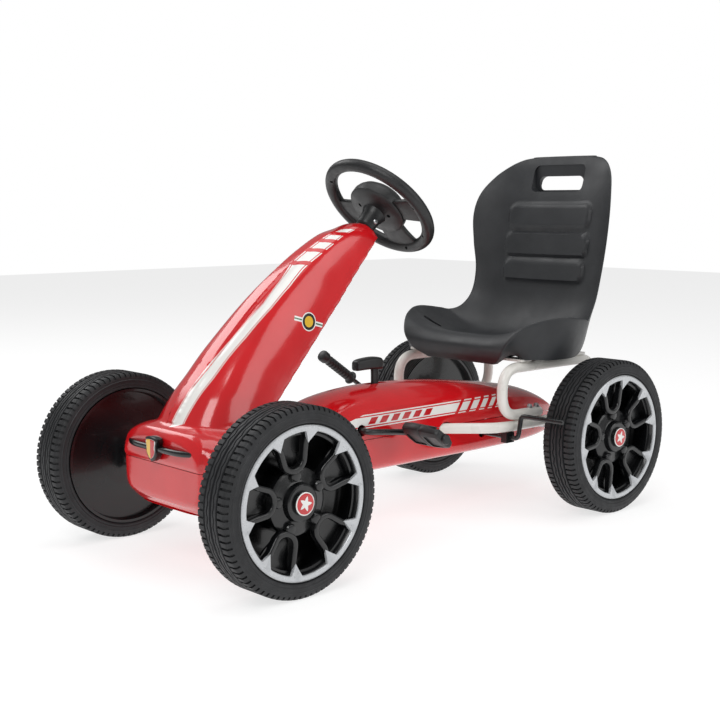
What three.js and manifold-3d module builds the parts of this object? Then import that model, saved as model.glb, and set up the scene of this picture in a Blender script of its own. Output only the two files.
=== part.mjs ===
// A child's pedal go kart: steel frame, four moulded wheels, glossy fairings, bucket seat,
// tilted steering column, bent-rod cranks with a chain to a live rear axle, hand brake and gear lever.
// Millimetres. +X is the driver's left, -Y is forward, +Z is up. y = 0 is midway between the axles
// until the last lines, which centre the kart over the origin on the ground.
import * as THREE from 'three';
import { mergeVertices } from 'three/addons/utils/BufferGeometryUtils.js';
import Module from 'manifold-3d';

const wasm = await Module();
wasm.setup();

// ---------------------------------------------------------------- driving dimensions
const WHEELBASE = 702;
const TRACK = 432; // between the wheels' centre planes
const WHEEL_R = 132;
const TYRE_W = 68;
const TYRE_DEPTH = 24; // from the tread to the rim seat
const RIM_WALL = 7;
const AXLE_R = 5;
const TUBE_R = 9; // white frame tube
const RAIL_X = 125; // side rails and seat loops
const RAIL_Z = 152;
const BACKBONE_R = 12.5;
const BACKBONE_Z = 121;
const BEAM_R = 11;
const KINGPIN_X = 158;
const KNUCKLE_ARM = 33;
const PITMAN_ARM = 27;
const TIE_Z = 148;
const COLUMN_TILT = 44.6; // degrees above the horizontal
const COLUMN_R = 6;
const STEER_WHEEL_R = 103; // outside of the rim
const STEER_GRIP_R = 10.5;
const STEER_Y = 18;
const STEER_Z = 524;
const CRANK_Y = -80;
const CRANK_Z = 172;
const CRANK_R = 82;
const CRANK_DROP = 7; // degrees that the left arm points below the horizontal
const CRANK_ROD_R = 5;
const PEDAL_W = 76;
const PEDAL_L = 54;
const PEDAL_T = 20;
const PEDAL_INNER_X = 93;
const PEDAL_TILT = -38; // degrees; the left pedal hangs with its front edge up
const CHAIN_X = -38;
const CHAIN_W = 6;
const CHAIN_T = 4;
const CRANK_SPROCKET_R = 36;
const AXLE_SPROCKET_R = 20;
const POD_HALF_W = 65;
const NOSE_HALF_W = 121;
const SHELL_T = 3.5;
const SEAM_Z = 156; // where upper and lower shells meet
const SPLIT_Y = -206; // where the nose shells meet the pod shells
const TOWER_BACK = -18; // height of the tower's rear edges above the column, square to it
const TOWER_TOP_HALF_W = 25;
const TOWER_FOOT_HALF_W = 63;
const SEAT_WIDTH = 332; // across the backrest
const BRAKE_PIVOT_Y = 204;
const BRAKE_PIVOT_Z = 134;
const BRAKE_ROD_R = 4;
const BRAKE_ARM = 38;
const GEAR_LEVER_Y = 8;
const GAP = 0.35; // between touching solids
const FIT = 0.4; // running clearance round a faceted shaft

const AXLE_Y = WHEELBASE / 2;
const WHEEL_X = TRACK / 2;
const SEAT_LOOP_Z = RAIL_Z + 2 * TUBE_R + GAP;
const LOOP_TOP_Z = 252;
const rad = THREE.MathUtils.degToRad;

// Column frame: n runs up the column to the driver, m is the forward-up normal of the column.
const tilt = rad(COLUMN_TILT);
const n = new THREE.Vector3(0, Math.cos(tilt), Math.sin(tilt));
const m = new THREE.Vector3(0, -Math.sin(tilt), Math.cos(tilt));
const wheelCentre = new THREE.Vector3(0, STEER_Y, STEER_Z);
const columnAt = (s) => wheelCentre.clone().addScaledVector(n, s);
const v3 = (x, y, z) => new THREE.Vector3(x, y, z);

// ---------------------------------------------------------------- finishes
const finish = (color, roughness, metalness = 0) => new THREE.MeshStandardMaterial({ color, roughness, metalness });
const MAT = {
  red: finish(0xd21418, 0.15),
  white: finish(0xe9e7e2, 0.35, 0.1),
  tyre: finish(0x1c1d1f, 0.75),
  rim: finish(0x101113, 0.3),
  black: finish(0x18191b, 0.45),
  seat: finish(0x2c2e31, 0.6),
  steel: finish(0xb9bcc0, 0.3, 0.9),
  darkSteel: finish(0x1a1a1c, 0.4, 0.6),
  nylon: finish(0xd8d6cf, 0.5),
  badge: finish(0xc0161c, 0.3),
};

// ---------------------------------------------------------------- solids
// A geometry as a manifold-3d solid, turned inside out if its faces point inwards.
function solid(geometry) {
  const g = geometry.clone();
  for (const name of ['normal', 'uv', 'color']) g.deleteAttribute(name);
  const merged = mergeVertices(g, 1e-4);
  const index = new Uint32Array(merged.index.array);
  const build = () =>
    new wasm.Manifold(new wasm.Mesh({ numProp: 3, vertProperties: new Float32Array(merged.attributes.position.array), triVerts: index }));
  const made = build();
  if (made.volume() >= 0) return made;
  for (let i = 0; i < index.length; i += 3) [index[i + 1], index[i + 2]] = [index[i + 2], index[i + 1]];
  return build();
}

function geometryOf(made) {
  const mesh = made.getMesh();
  const positions = new Float32Array(mesh.numVert * 3);
  for (let i = 0; i < mesh.numVert; i++)
    positions.set(mesh.vertProperties.subarray(i * mesh.numProp, i * mesh.numProp + 3), i * 3);
  const g = new THREE.BufferGeometry();
  g.setAttribute('position', new THREE.BufferAttribute(positions, 3));
  g.setIndex(new THREE.BufferAttribute(new Uint32Array(mesh.triVerts), 1));
  g.computeVertexNormals();
  return g;
}

const union = (...parts) => parts.reduce((a, b) => a.add(b));
const box = (w, l, h, at = v3(0, 0, 0), turn = null) => {
  const g = new THREE.BoxGeometry(w, l, h);
  if (turn) g.applyQuaternion(turn);
  g.translate(at.x, at.y, at.z);
  return solid(g);
};
const boxBetween = (lo, hi) =>
  box(hi[0] - lo[0], hi[1] - lo[1], hi[2] - lo[2], v3((lo[0] + hi[0]) / 2, (lo[1] + hi[1]) / 2, (lo[2] + hi[2]) / 2));

// A round bar from a to b, optionally tapering to endRadius.
function bar(a, b, radius, sides = 12, endRadius = radius) {
  const along = b.clone().sub(a);
  const g = new THREE.CylinderGeometry(endRadius, radius, along.length(), sides);
  g.translate(0, along.length() / 2, 0);
  g.applyQuaternion(new THREE.Quaternion().setFromUnitVectors(v3(0, 1, 0), along.normalize()));
  g.translate(a.x, a.y, a.z);
  return solid(g);
}

const ring = (a, b, outer, inner, sides = 16) => {
  const over = b.clone().sub(a).setLength(1);
  return bar(a, b, outer, sides).subtract(bar(a.clone().sub(over), b.clone().add(over), inner, sides));
};

// A bar bent through the points: each corner is rounded with the bend's reach and cut into BEND_STEPS.
const BEND_STEPS = 4;
function pipe(points, radius, bend, count = 8) {
  const stations = [{ at: points[0], along: points[1].clone().sub(points[0]).normalize() }];
  for (let i = 1; i < points.length - 1; i++) {
    const corner = points[i];
    const back = points[i - 1].clone().sub(corner);
    const on = points[i + 1].clone().sub(corner);
    const reach = Math.min(bend, back.length() * 0.49, on.length() * 0.49);
    const start = corner.clone().add(back.setLength(reach));
    const end = corner.clone().add(on.setLength(reach));
    const curve = new THREE.QuadraticBezierCurve3(start, corner, end);
    for (let k = 0; k <= BEND_STEPS; k++)
      stations.push({ at: curve.getPoint(k / BEND_STEPS), along: curve.getTangent(k / BEND_STEPS) });
  }
  const last = points.at(-1);
  stations.push({ at: last, along: last.clone().sub(points.at(-2)).normalize() });
  let across = v3(0, 0, 1).cross(stations[0].along);
  if (across.length() < 0.2) across = v3(1, 0, 0).cross(stations[0].along);
  const rings = stations.map(({ at, along }) => {
    across = across.clone().addScaledVector(along, -across.dot(along)).normalize();
    const third = along.clone().cross(across);
    return Array.from({ length: count }, (_, i) => {
      const a = (2 * Math.PI * (i + 0.5)) / count;
      return at.clone().addScaledVector(across, radius * Math.cos(a)).addScaledVector(third, radius * Math.sin(a));
    });
  });
  return loft(rings);
}

// A solid of revolution about X from [radius, x] pairs.
function turned(profile, segments, closed = true) {
  const points = profile.map(([r, x]) => new THREE.Vector2(r, x));
  if (closed) points.push(points[0].clone());
  const g = new THREE.LatheGeometry(points, segments);
  g.rotateZ(-Math.PI / 2);
  return solid(g);
}

// Rings of equally many points joined one after another, with flat ends.
function loft(rings) {
  const positions = [];
  const index = [];
  const count = rings[0].length;
  for (const r of rings) for (const p of r) positions.push(p.x, p.y, p.z);
  for (let j = 0; j + 1 < rings.length; j++)
    for (let i = 0; i < count; i++) {
      const a = j * count + i;
      const b = j * count + ((i + 1) % count);
      index.push(a, b, a + count, b, b + count, a + count);
    }
  for (const [ringIndex, reverse] of [[0, true], [rings.length - 1, false]]) {
    const centre = rings[ringIndex].reduce((s, p) => s.add(p), v3(0, 0, 0)).divideScalar(count);
    const c = positions.length / 3;
    positions.push(centre.x, centre.y, centre.z);
    for (let i = 0; i < count; i++) {
      const a = ringIndex * count + i;
      const b = ringIndex * count + ((i + 1) % count);
      if (reverse) index.push(c, b, a);
      else index.push(c, a, b);
    }
  }
  const g = new THREE.BufferGeometry();
  g.setAttribute('position', new THREE.Float32BufferAttribute(positions, 3));
  g.setIndex(index);
  return solid(g);
}

// Straight-line reading of a table of rows [position, value, value...].
function read(table, at) {
  const i = Math.min(Math.max(table.findIndex((row) => row[0] >= at), 1), table.length - 1);
  const [a, b] = [table[i - 1], table[i]];
  const t = Math.min(Math.max((at - a[0]) / (b[0] - a[0]), 0), 1);
  return a.slice(1).map((value, k) => value + (b[k + 1] - value) * t);
}

const power = (value, exponent) => Math.sign(value) * Math.abs(value) ** exponent;

const kart = new THREE.Group();
const add = (parent, name, made, material) => {
  const mesh = new THREE.Mesh(geometryOf(made), material);
  mesh.name = name;
  parent.add(mesh);
  return mesh;
};
const sides = [['left', 1], ['right', -1]];

// ---------------------------------------------------------------- wheels
// Built round the origin with the outer face towards +X.
const RIM_SEAT_R = WHEEL_R - TYRE_DEPTH;
const HUB_R = 19;
const CAP_R = 17;
const SPOKE_T = 9;

function tyre() {
  const w = TYRE_W / 2;
  return turned(
    [
      [RIM_SEAT_R + GAP, -w + 4], [RIM_SEAT_R + 4, -w], [WHEEL_R - 8, -w], [WHEEL_R - 1, -w + 9], [WHEEL_R, -w + 18],
      [WHEEL_R, w - 18], [WHEEL_R - 1, w - 9], [WHEEL_R - 8, w], [RIM_SEAT_R + 4, w], [RIM_SEAT_R + GAP, w - 4],
    ],
    24,
  );
}

// Five Y-shaped spokes: a wedge window between neighbours and a pocket between each pair of legs.
function rim(boreR) {
  const w = TYRE_W / 2 - 3;
  const outer = RIM_SEAT_R;
  const inner = outer - RIM_WALL;
  const barrel = turned([[inner, -w], [outer, -w], [outer, w], [inner, w]], 24);
  const disc = bar(v3(w - SPOKE_T - 8, 0, 0), v3(w - 8, 0, 0), inner + 1, 24);
  const hub = bar(v3(-w + 6, 0, 0), v3(w - 4, 0, 0), HUB_R, 16);
  let made = union(barrel, disc, hub);
  const cut = (angle, halfIn, halfOut, rIn, rOut) => {
    const shape = new THREE.Shape();
    shape.moveTo(rIn, -halfIn);
    shape.lineTo(rOut - 6, -halfOut);
    shape.lineTo(rOut, -halfOut * 0.5);
    shape.lineTo(rOut, halfOut * 0.5);
    shape.lineTo(rOut - 6, halfOut);
    shape.lineTo(rIn, halfIn);
    const g = new THREE.ExtrudeGeometry(shape, { depth: TYRE_W, bevelEnabled: false });
    g.translate(0, 0, -TYRE_W / 2);
    g.rotateZ(angle);
    g.rotateY(Math.PI / 2);
    return solid(g);
  };
  for (let i = 0; i < 5; i++) {
    const a = (2 * Math.PI * i) / 5;
    made = made.subtract(cut(a, 11, 19, 50, inner - 3));
    made = made.subtract(cut(a + Math.PI / 5, 5, 20, 38, inner - 3));
  }
  return made.subtract(bar(v3(-w - 1, 0, 0), v3(w + 1, 0, 0), boreR, 12));
}

function hubCap() {
  const x = TYRE_W / 2 - 3 - 4;
  return turned([[0, x + GAP], [CAP_R, x + GAP], [CAP_R, x + 4], [CAP_R - 3, x + 6], [0, x + 7]], 16, false).subtract(
    bar(v3(x - 1, 0, 0), v3(x + 4, 0, 0), AXLE_R + 6, 12),
  );
}

const FRONT_BUSH_R = AXLE_R + 5;
function wheelSet(tag, boreR) {
  const g = new THREE.Group();
  add(g, `tyre_${tag}`, tyre(), MAT.tyre);
  add(g, `rim_${tag}`, rim(boreR), MAT.rim);
  add(g, `hub_cap_${tag}`, hubCap(), MAT.badge);
  return g;
}
for (const [name, side] of sides) {
  const turn = side > 0 ? 0 : Math.PI;
  const front = wheelSet(`front_${name}`, FRONT_BUSH_R + GAP);
  const w = TYRE_W / 2 - 3;
  add(front, `wheel_bush_${name}`, ring(v3(-w + 6, 0, 0), v3(w - 6, 0, 0), FRONT_BUSH_R, AXLE_R + FIT), MAT.nylon);
  front.position.set(side * WHEEL_X, -AXLE_Y, WHEEL_R);
  front.rotation.z = turn;
  const rear = wheelSet(`rear_${name}`, AXLE_R + FIT);
  rear.position.set(side * WHEEL_X, AXLE_Y, WHEEL_R);
  rear.rotation.z = turn;
  kart.add(front, rear);
}

// ---------------------------------------------------------------- front axle and steering
const CLEVIS_T = 4;
const CLEVIS_H = 40;
const KNUCKLE_R = 10;
const clevisHalf = CLEVIS_H / 2;
function frontBeam() {
  const end = KINGPIN_X - KNUCKLE_R - 6;
  let made = bar(v3(-end, -AXLE_Y, WHEEL_R), v3(end, -AXLE_Y, WHEEL_R), BEAM_R, 14);
  for (const [, side] of sides) {
    const plateX = side * (end + 1);
    made = made.add(box(CLEVIS_T, 20, CLEVIS_H + 2 * CLEVIS_T, v3(plateX, -AXLE_Y, WHEEL_R)));
    for (const lift of [-1, 1]) {
      const z = WHEEL_R + lift * (clevisHalf + CLEVIS_T / 2);
      const reach = KNUCKLE_R + 16;
      made = made.add(box(reach, 20, CLEVIS_T, v3(side * (KINGPIN_X + KNUCKLE_R - reach / 2), -AXLE_Y, z)));
    }
    made = made.subtract(
      bar(v3(side * KINGPIN_X, -AXLE_Y, WHEEL_R - CLEVIS_H), v3(side * KINGPIN_X, -AXLE_Y, WHEEL_R + CLEVIS_H), AXLE_R + FIT),
    );
  }
  return made;
}
add(kart, 'front_axle_beam', frontBeam(), MAT.white);

const TIE_PIN_R = 3.5;
function knuckle(side) {
  const at = (x, y, z) => v3(side * x, -AXLE_Y + y, z);
  const barrel = bar(at(KINGPIN_X, 0, WHEEL_R - clevisHalf + GAP), at(KINGPIN_X, 0, WHEEL_R + clevisHalf - GAP), KNUCKLE_R, 16);
  const stub = bar(at(KINGPIN_X, 0, WHEEL_R), at(WHEEL_X + TYRE_W / 2 - 4, 0, WHEEL_R), AXLE_R, 12);
  const armZ = TIE_Z - 8;
  const arm = box(12, KNUCKLE_ARM + 6, 5, at(KINGPIN_X, KNUCKLE_ARM / 2 + 3, armZ));
  const pin = bar(at(KINGPIN_X, KNUCKLE_ARM, armZ), at(KINGPIN_X, KNUCKLE_ARM, TIE_Z + 5), TIE_PIN_R, 12);
  const bore = bar(at(KINGPIN_X, 0, WHEEL_R - CLEVIS_H), at(KINGPIN_X, 0, WHEEL_R + CLEVIS_H), AXLE_R + FIT);
  return union(barrel, stub, arm).subtract(bore).add(pin);
}
function kingpin(side) {
  const at = (z) => v3(side * KINGPIN_X, -AXLE_Y, z);
  const top = WHEEL_R + clevisHalf + CLEVIS_T + GAP;
  const bottom = WHEEL_R - clevisHalf - CLEVIS_T;
  return union(bar(at(bottom - 5), at(top + 1), AXLE_R), bar(at(top), at(top + 5), AXLE_R + 4, 6));
}
// The tie rod's inner eye goes round the pitman stud with room for the linkage's small error.
const STUD_R = 3;
const EYE_ROOM = 5;
function tieRod(side) {
  const eyeZ = TIE_Z + (side > 0 ? 0 : 6);
  const y = -AXLE_Y + KNUCKLE_ARM;
  const outer = v3(side * KINGPIN_X, y, TIE_Z);
  const inner = v3(0, y, eyeZ);
  const innerR = STUD_R + EYE_ROOM + 3;
  const up = v3(0, 0, 2.5);
  const rod = pipe(
    [v3(side * (innerR - 1), y, eyeZ), v3(side * 40, y, eyeZ), v3(side * 60, y, TIE_Z), v3(side * (KINGPIN_X - 6), y, TIE_Z)],
    2.4, 8, 6,
  );
  const eyeIn = bar(inner.clone().sub(up), inner.clone().add(up), innerR, 16);
  const eyeOut = bar(outer.clone().sub(up), outer.clone().add(up), TIE_PIN_R + 4, 14);
  const holes = union(
    bar(v3(0, y, eyeZ - 6), v3(0, y, eyeZ + 6), STUD_R + EYE_ROOM, 16),
    bar(v3(outer.x, y, TIE_Z - 6), v3(outer.x, y, TIE_Z + 6), TIE_PIN_R + FIT, 14),
  );
  return union(rod, eyeIn, eyeOut).subtract(holes);
}
for (const [name, side] of sides) {
  add(kart, `steering_knuckle_${name}`, knuckle(side), MAT.darkSteel);
  add(kart, `kingpin_${name}`, kingpin(side), MAT.steel);
  add(kart, `tie_rod_${name}`, tieRod(side), MAT.steel);
}

// The stud stands PITMAN_ARM from the column's axis at the height of the tie rods.
const studTop = v3(0, -AXLE_Y + KNUCKLE_ARM, TIE_Z);
const pitmanS = studTop.clone().sub(wheelCentre).dot(n);
const pitmanRoot = columnAt(pitmanS);
function steeringColumn() {
  const lower = columnAt(pitmanS - 4);
  const upper = columnAt(-18);
  const armEnd = v3(0, studTop.y, pitmanRoot.z - 2);
  const rod = bar(lower, upper, COLUMN_R, 12);
  const arm = bar(pitmanRoot, armEnd, 4.5, 8);
  const stud = bar(armEnd, studTop.clone().add(v3(0, 0, -6)), STUD_R, 10);
  return union(rod, arm, stud);
}
add(kart, 'steering_column', steeringColumn(), MAT.darkSteel);

// A box in the column's frame, from distances along the column and heights above it.
const columnTurn = new THREE.Matrix4().makeBasis(v3(1, 0, 0), m.clone().negate(), n).setPosition(wheelCentre);
const columnBox = (halfX, [s0, s1], [h0, h1]) =>
  boxBetween([-halfX, -h1, s0], [halfX, -h0, s1]).transform(columnTurn.elements);
const RING_S = pitmanS + 30;
const BRACKET_H = 16;
// The beam's place in the column's frame.
const beamFrom = v3(0, -AXLE_Y, WHEEL_R).sub(wheelCentre);
const [beamS, beamH] = [beamFrom.dot(n), beamFrom.dot(m)];
function columnBracket() {
  const foot = columnBox(11, [beamS - 7, beamS + 7], [beamH + BEAM_R + GAP, BRACKET_H + 4]);
  const leg = columnBox(11, [beamS - 7, RING_S + 10], [BRACKET_H, BRACKET_H + 4]);
  const eye = bar(columnAt(RING_S - 7), columnAt(RING_S + 7), BRACKET_H + 1, 16);
  return union(foot, leg, eye).subtract(bar(columnAt(RING_S - 40), columnAt(RING_S + 40), COLUMN_R + FIT, 12));
}
add(kart, 'column_bracket', columnBracket(), MAT.white);

const SPOKE_W = 30;
function steeringWheel() {
  const rimR = STEER_WHEEL_R - STEER_GRIP_R;
  const torus = new THREE.TorusGeometry(rimR, STEER_GRIP_R, 8, 26);
  let made = solid(torus);
  for (const angle of [-8, 188, 90]) {
    const g = new THREE.BoxGeometry(rimR, SPOKE_W, 9);
    g.translate(rimR / 2, 0, -4);
    g.rotateZ(rad(angle));
    made = made.add(solid(g));
  }
  made = made.add(bar(v3(0, 0, -16), v3(0, 0, 6), 38, 24));
  return made.subtract(bar(v3(0, 0, -17), v3(0, 0, -12), COLUMN_R + 6, 12));
}
const steerGroup = new THREE.Group();
steerGroup.position.copy(wheelCentre);
steerGroup.quaternion.setFromRotationMatrix(new THREE.Matrix4().makeBasis(v3(1, 0, 0), m.clone().negate(), n));
add(steerGroup, 'steering_wheel', steeringWheel(), MAT.black);
add(
  steerGroup, 'steering_hub_pad',
  bar(v3(0, 0, 6 + GAP), v3(0, 0, 14), 34, 24, 28),
  MAT.black,
);
const COLLAR_R = 16;
const COLLAR_LEN = 33;
add(
  steerGroup, 'column_collar',
  ring(v3(0, 0, -16 - GAP - COLLAR_LEN), v3(0, 0, -16 - GAP), COLLAR_R, COLUMN_R + FIT, 20).subtract(
    bar(v3(0, 0, -34), v3(COLLAR_R + 2, 0, -34), 3.2, 10),
  ),
  MAT.black,
);
add(steerGroup, 'collar_bolt', union(bar(v3(COLUMN_R + FIT + 0.3, 0, -34), v3(COLLAR_R + 1, 0, -34), 2.6, 10), bar(v3(COLLAR_R + 0.4, 0, -34), v3(COLLAR_R + 3, 0, -34), 4.5, 10)), MAT.steel);
kart.add(steerGroup);

// ---------------------------------------------------------------- fairings
// Rows: y, half width, bottom, top of the long lower hull from nose to tail.
const NOSE_Y = -414;
const TAIL_Y = 460;
const HULL = [
  [NOSE_Y, NOSE_HALF_W - 28, 102, 196],
  [NOSE_Y + 10, NOSE_HALF_W - 14, 90, 208],
  [NOSE_Y + 24, NOSE_HALF_W - 5, 86, 213],
  [NOSE_Y + 46, NOSE_HALF_W, 84, 213],
  [-334, NOSE_HALF_W, 86, 210],
  [-290, NOSE_HALF_W - 12, 90, 202],
  [-245, NOSE_HALF_W - 34, 95, 196],
  [SPLIT_Y, POD_HALF_W + 8, 96, 197],
  [-165, POD_HALF_W + 1, 97, 207],
  [-110, POD_HALF_W, 97, 224],
  [-47, POD_HALF_W, 97, 232],
  [30, POD_HALF_W, 97, 233],
  [120, POD_HALF_W, 97, 228],
  [210, POD_HALF_W, 97, 218],
  [290, POD_HALF_W - 1, 98, 207],
  [350, POD_HALF_W - 6, 100, 195],
  [400, POD_HALF_W - 17, 104, 176],
  [438, POD_HALF_W - 33, 110, 152],
  [TAIL_Y, POD_HALF_W - 55, 122, 136],
];
const HULL_POINTS = 20;
function hullRing(y, inset) {
  const [w, zb, zt] = read(HULL, y);
  const waist = Math.min(SEAM_Z, (zb + zt) / 2 + 8);
  return Array.from({ length: HULL_POINTS }, (_, i) => {
    const a = (2 * Math.PI * i) / HULL_POINTS;
    const up = Math.sin(a) > 0;
    const squareness = up ? 0.62 : 0.42;
    const height = (up ? zt - waist : waist - zb) - inset;
    return v3((w - inset) * power(Math.cos(a), squareness), y, waist + height * power(Math.sin(a), squareness));
  });
}
const hull = (inset) => {
  const rows = HULL.map((row) => row[0]);
  rows[0] += inset;
  rows[rows.length - 1] -= inset;
  return loft(rows.map((y) => hullRing(y, inset)));
};

// Rows: distance along the column from the steering wheel, half width, height of the front ridge above the column.
const TOWER = [
  [-572, TOWER_FOOT_HALF_W + 24, 26],
  [-513, TOWER_FOOT_HALF_W + 18, 68],
  [-465, TOWER_FOOT_HALF_W + 14, 79],
  [-430, TOWER_FOOT_HALF_W + 8, 81],
  [-391, TOWER_FOOT_HALF_W + 2, 82.5],
  [-345, TOWER_FOOT_HALF_W - 3, 84.5],
  [-299, TOWER_FOOT_HALF_W - 8, 84],
  [-250, TOWER_FOOT_HALF_W - 13, 80.5],
  [-199, TOWER_FOOT_HALF_W - 19, 73.5],
  [-160, TOWER_TOP_HALF_W + 13, 65],
  [-120, TOWER_TOP_HALF_W + 8, 53],
  [-91, TOWER_TOP_HALF_W + 5, 40],
  [-66, TOWER_TOP_HALF_W + 2, 27],
  [-52, TOWER_TOP_HALF_W, 15],
];
const TOWER_POINTS = 14;
function towerRing(s, inset) {
  const [w, front] = read(TOWER, s);
  const back = TOWER_BACK - (inset ? 20 : 0);
  return Array.from({ length: TOWER_POINTS }, (_, i) => {
    const a = (Math.PI * i) / (TOWER_POINTS - 1);
    const x = (w - inset) * power(Math.cos(a), 0.6);
    const v = back + (front - inset - back) * Math.max(Math.sin(a), 0) ** 0.6;
    return columnAt(s).setX(x).addScaledVector(m, v);
  });
}
const tower = (inset) => {
  const rows = TOWER.map((row) => row[0]);
  rows[rows.length - 1] -= inset;
  return loft(rows.map((s) => towerRing(s, inset)));
};

const BIG = 2000;
const above = (z) => boxBetween([-BIG, -BIG, z], [BIG, BIG, BIG]);
const below = (z) => boxBetween([-BIG, -BIG, -BIG], [BIG, BIG, z]);
const before = (y) => boxBetween([-BIG, -BIG, -BIG], [BIG, y, BIG]);
const behind = (y) => boxBetween([-BIG, y, -BIG], [BIG, BIG, BIG]);

const outerHull = hull(0);
const innerHull = hull(SHELL_T);
const fairing = outerHull.add(tower(0)).subtract(innerHull).subtract(tower(SHELL_T));
const acrossX = (y, z, r) => bar(v3(-BIG, y, z), v3(BIG, y, z), r, 16);
const columnHole = bar(columnAt(-BIG), columnAt(0), COLUMN_R + 6, 16);
const beamHole = acrossX(-AXLE_Y, WHEEL_R, BEAM_R + 3);
const crankHole = acrossX(CRANK_Y, CRANK_Z, CRANK_ROD_R + 3);
const axleHole = acrossX(AXLE_Y, WHEEL_R, AXLE_R + 3);
const brakeHole = acrossX(BRAKE_PIVOT_Y, BRAKE_PIVOT_Z, BRAKE_ROD_R + 3);
const tieSlot = boxBetween([-BIG, -AXLE_Y + KNUCKLE_ARM - 14, TIE_Z - 9], [BIG, -AXLE_Y + KNUCKLE_ARM + 14, BIG]);
const GEAR_SLOT = [12, 44];
const gearSlot = boxBetween([-GEAR_SLOT[0] / 2, GEAR_LEVER_Y - GEAR_SLOT[1] / 2, SEAM_Z], [GEAR_SLOT[0] / 2, GEAR_LEVER_Y + GEAR_SLOT[1] / 2, BIG]);

// The rail leaves the pod low on its side, bends outwards and runs straight back past the axle.
const RAIL_ROOT_X = 20;
const RAIL_ROOT_Y = 62;
const RAIL_END_Y = 444;
const railPoints = (side, z = RAIL_Z) => [
  v3(side * RAIL_ROOT_X, RAIL_ROOT_Y, z), v3(side * RAIL_X, RAIL_ROOT_Y + RAIL_X - RAIL_ROOT_X + 14, z), v3(side * RAIL_X, RAIL_END_Y, z),
];
const rail = (side, radius = TUBE_R) => pipe(railPoints(side), radius, 34, 10);
const railHoles = union(rail(1, TUBE_R + 2), rail(-1, TUBE_R + 2));

const podRoom = boxBetween([-BIG, SPLIT_Y, -BIG], [BIG, BIG, 240]);
const cutFairing = (made) => made.subtract(railHoles).subtract(axleHole).subtract(crankHole).subtract(beamHole).subtract(brakeHole);
const biggest = (made) => made.decompose().reduce((a, b) => (a.volume() > b.volume() ? a : b));
add(kart, 'bonnet_shell', biggest(cutFairing(fairing).subtract(columnHole).intersect(above(SEAM_Z)).subtract(podRoom)), MAT.red);
add(kart, 'chin_shell', biggest(cutFairing(fairing).subtract(tieSlot).intersect(below(SEAM_Z - GAP)).intersect(before(SPLIT_Y))), MAT.red);
add(kart, 'pod_upper_shell', biggest(cutFairing(outerHull.subtract(innerHull)).subtract(gearSlot).intersect(above(SEAM_Z)).intersect(behind(SPLIT_Y + GAP))), MAT.red);
add(kart, 'pod_lower_shell', biggest(cutFairing(outerHull.subtract(innerHull)).intersect(below(SEAM_Z - GAP)).intersect(behind(SPLIT_Y + GAP))), MAT.red);

// Black bar and shield on the nose.
const BAR_HALF = 84;
const BAR_Z = 181;
const barY = NOSE_Y - 2;
function noseBar() {
  const bow = [v3(-BAR_HALF, barY + 22, BAR_Z), v3(-BAR_HALF * 0.6, barY + 3, BAR_Z), v3(BAR_HALF * 0.6, barY + 3, BAR_Z), v3(BAR_HALF, barY + 22, BAR_Z)];
  return pipe(bow, 5.5, 30).subtract(outerHull).subtract(loft(HULL.slice(0, 5).map((row) => hullRing(row[0], -GAP))));
}
function noseBadge() {
  const shape = new THREE.Shape();
  shape.moveTo(0, -20);
  shape.quadraticCurveTo(16, -12, 15, 6);
  shape.lineTo(17, 16);
  shape.lineTo(0, 20);
  shape.lineTo(-17, 16);
  shape.lineTo(-15, 6);
  shape.quadraticCurveTo(-16, -12, 0, -20);
  const g = new THREE.ExtrudeGeometry(shape, { depth: 6, bevelEnabled: false, curveSegments: 5 });
  g.rotateX(Math.PI / 2);
  g.translate(0, barY - 3, BAR_Z);
  return solid(g);
}
const badge = noseBadge();
const badgeRoom = boxBetween([-18, barY - 12, BAR_Z - 21], [18, barY - 3 + GAP, BAR_Z + 21]);
add(kart, 'nose_bar', biggest(noseBar().subtract(badgeRoom)), MAT.black);
add(kart, 'nose_badge', badge, MAT.badge);

// ---------------------------------------------------------------- frame
add(kart, 'backbone_tube', bar(v3(0, -AXLE_Y + BEAM_R + GAP, BACKBONE_Z), v3(0, RAIL_ROOT_Y - 8, BACKBONE_Z), BACKBONE_R, 14), MAT.white);
const JUNCTION_T = 6;
add(
  kart, 'rail_junction_plate',
  boxBetween([-RAIL_ROOT_X - 9, RAIL_ROOT_Y - 8 + GAP, BACKBONE_Z - 8], [RAIL_ROOT_X + 9, RAIL_ROOT_Y - 8 + JUNCTION_T, RAIL_Z + TUBE_R]),
  MAT.white,
);
const loopPoints = (side) => {
  const at = (y, z) => v3(side * RAIL_X, y, z);
  return [at(284, SEAT_LOOP_Z), at(186, SEAT_LOOP_Z), at(186, LOOP_TOP_Z), at(432, LOOP_TOP_Z), at(432, SEAT_LOOP_Z), at(376, SEAT_LOOP_Z)];
};
const BEARING_R = 15;
const BRACKET_T = 4;
const bracketX = RAIL_X + TUBE_R + GAP;
function axleBracket(side) {
  const x = side * (bracketX + BRACKET_T / 2);
  const plate = box(BRACKET_T, 2 * BEARING_R + 14, RAIL_Z + TUBE_R - WHEEL_R, v3(x, AXLE_Y, (RAIL_Z + TUBE_R + WHEEL_R) / 2));
  const round = bar(v3(side * bracketX, AXLE_Y, WHEEL_R), v3(side * (bracketX + BRACKET_T), AXLE_Y, WHEEL_R), BEARING_R + 7, 18);
  return plate.add(round).subtract(bar(v3(side * (bracketX - 9), AXLE_Y, WHEEL_R), v3(side * (bracketX + 9), AXLE_Y, WHEEL_R), BEARING_R + GAP, 18));
}
function axleBearing(side) {
  const x = (d) => v3(side * (bracketX + d), AXLE_Y, WHEEL_R);
  const body = bar(x(-1), x(BRACKET_T + 4), BEARING_R, 18);
  const flange = bar(x(BRACKET_T + GAP), x(BRACKET_T + 4), BEARING_R + 4, 18);
  return body.add(flange).subtract(bar(x(-3), x(BRACKET_T + 6), AXLE_R + FIT, 12));
}
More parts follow.
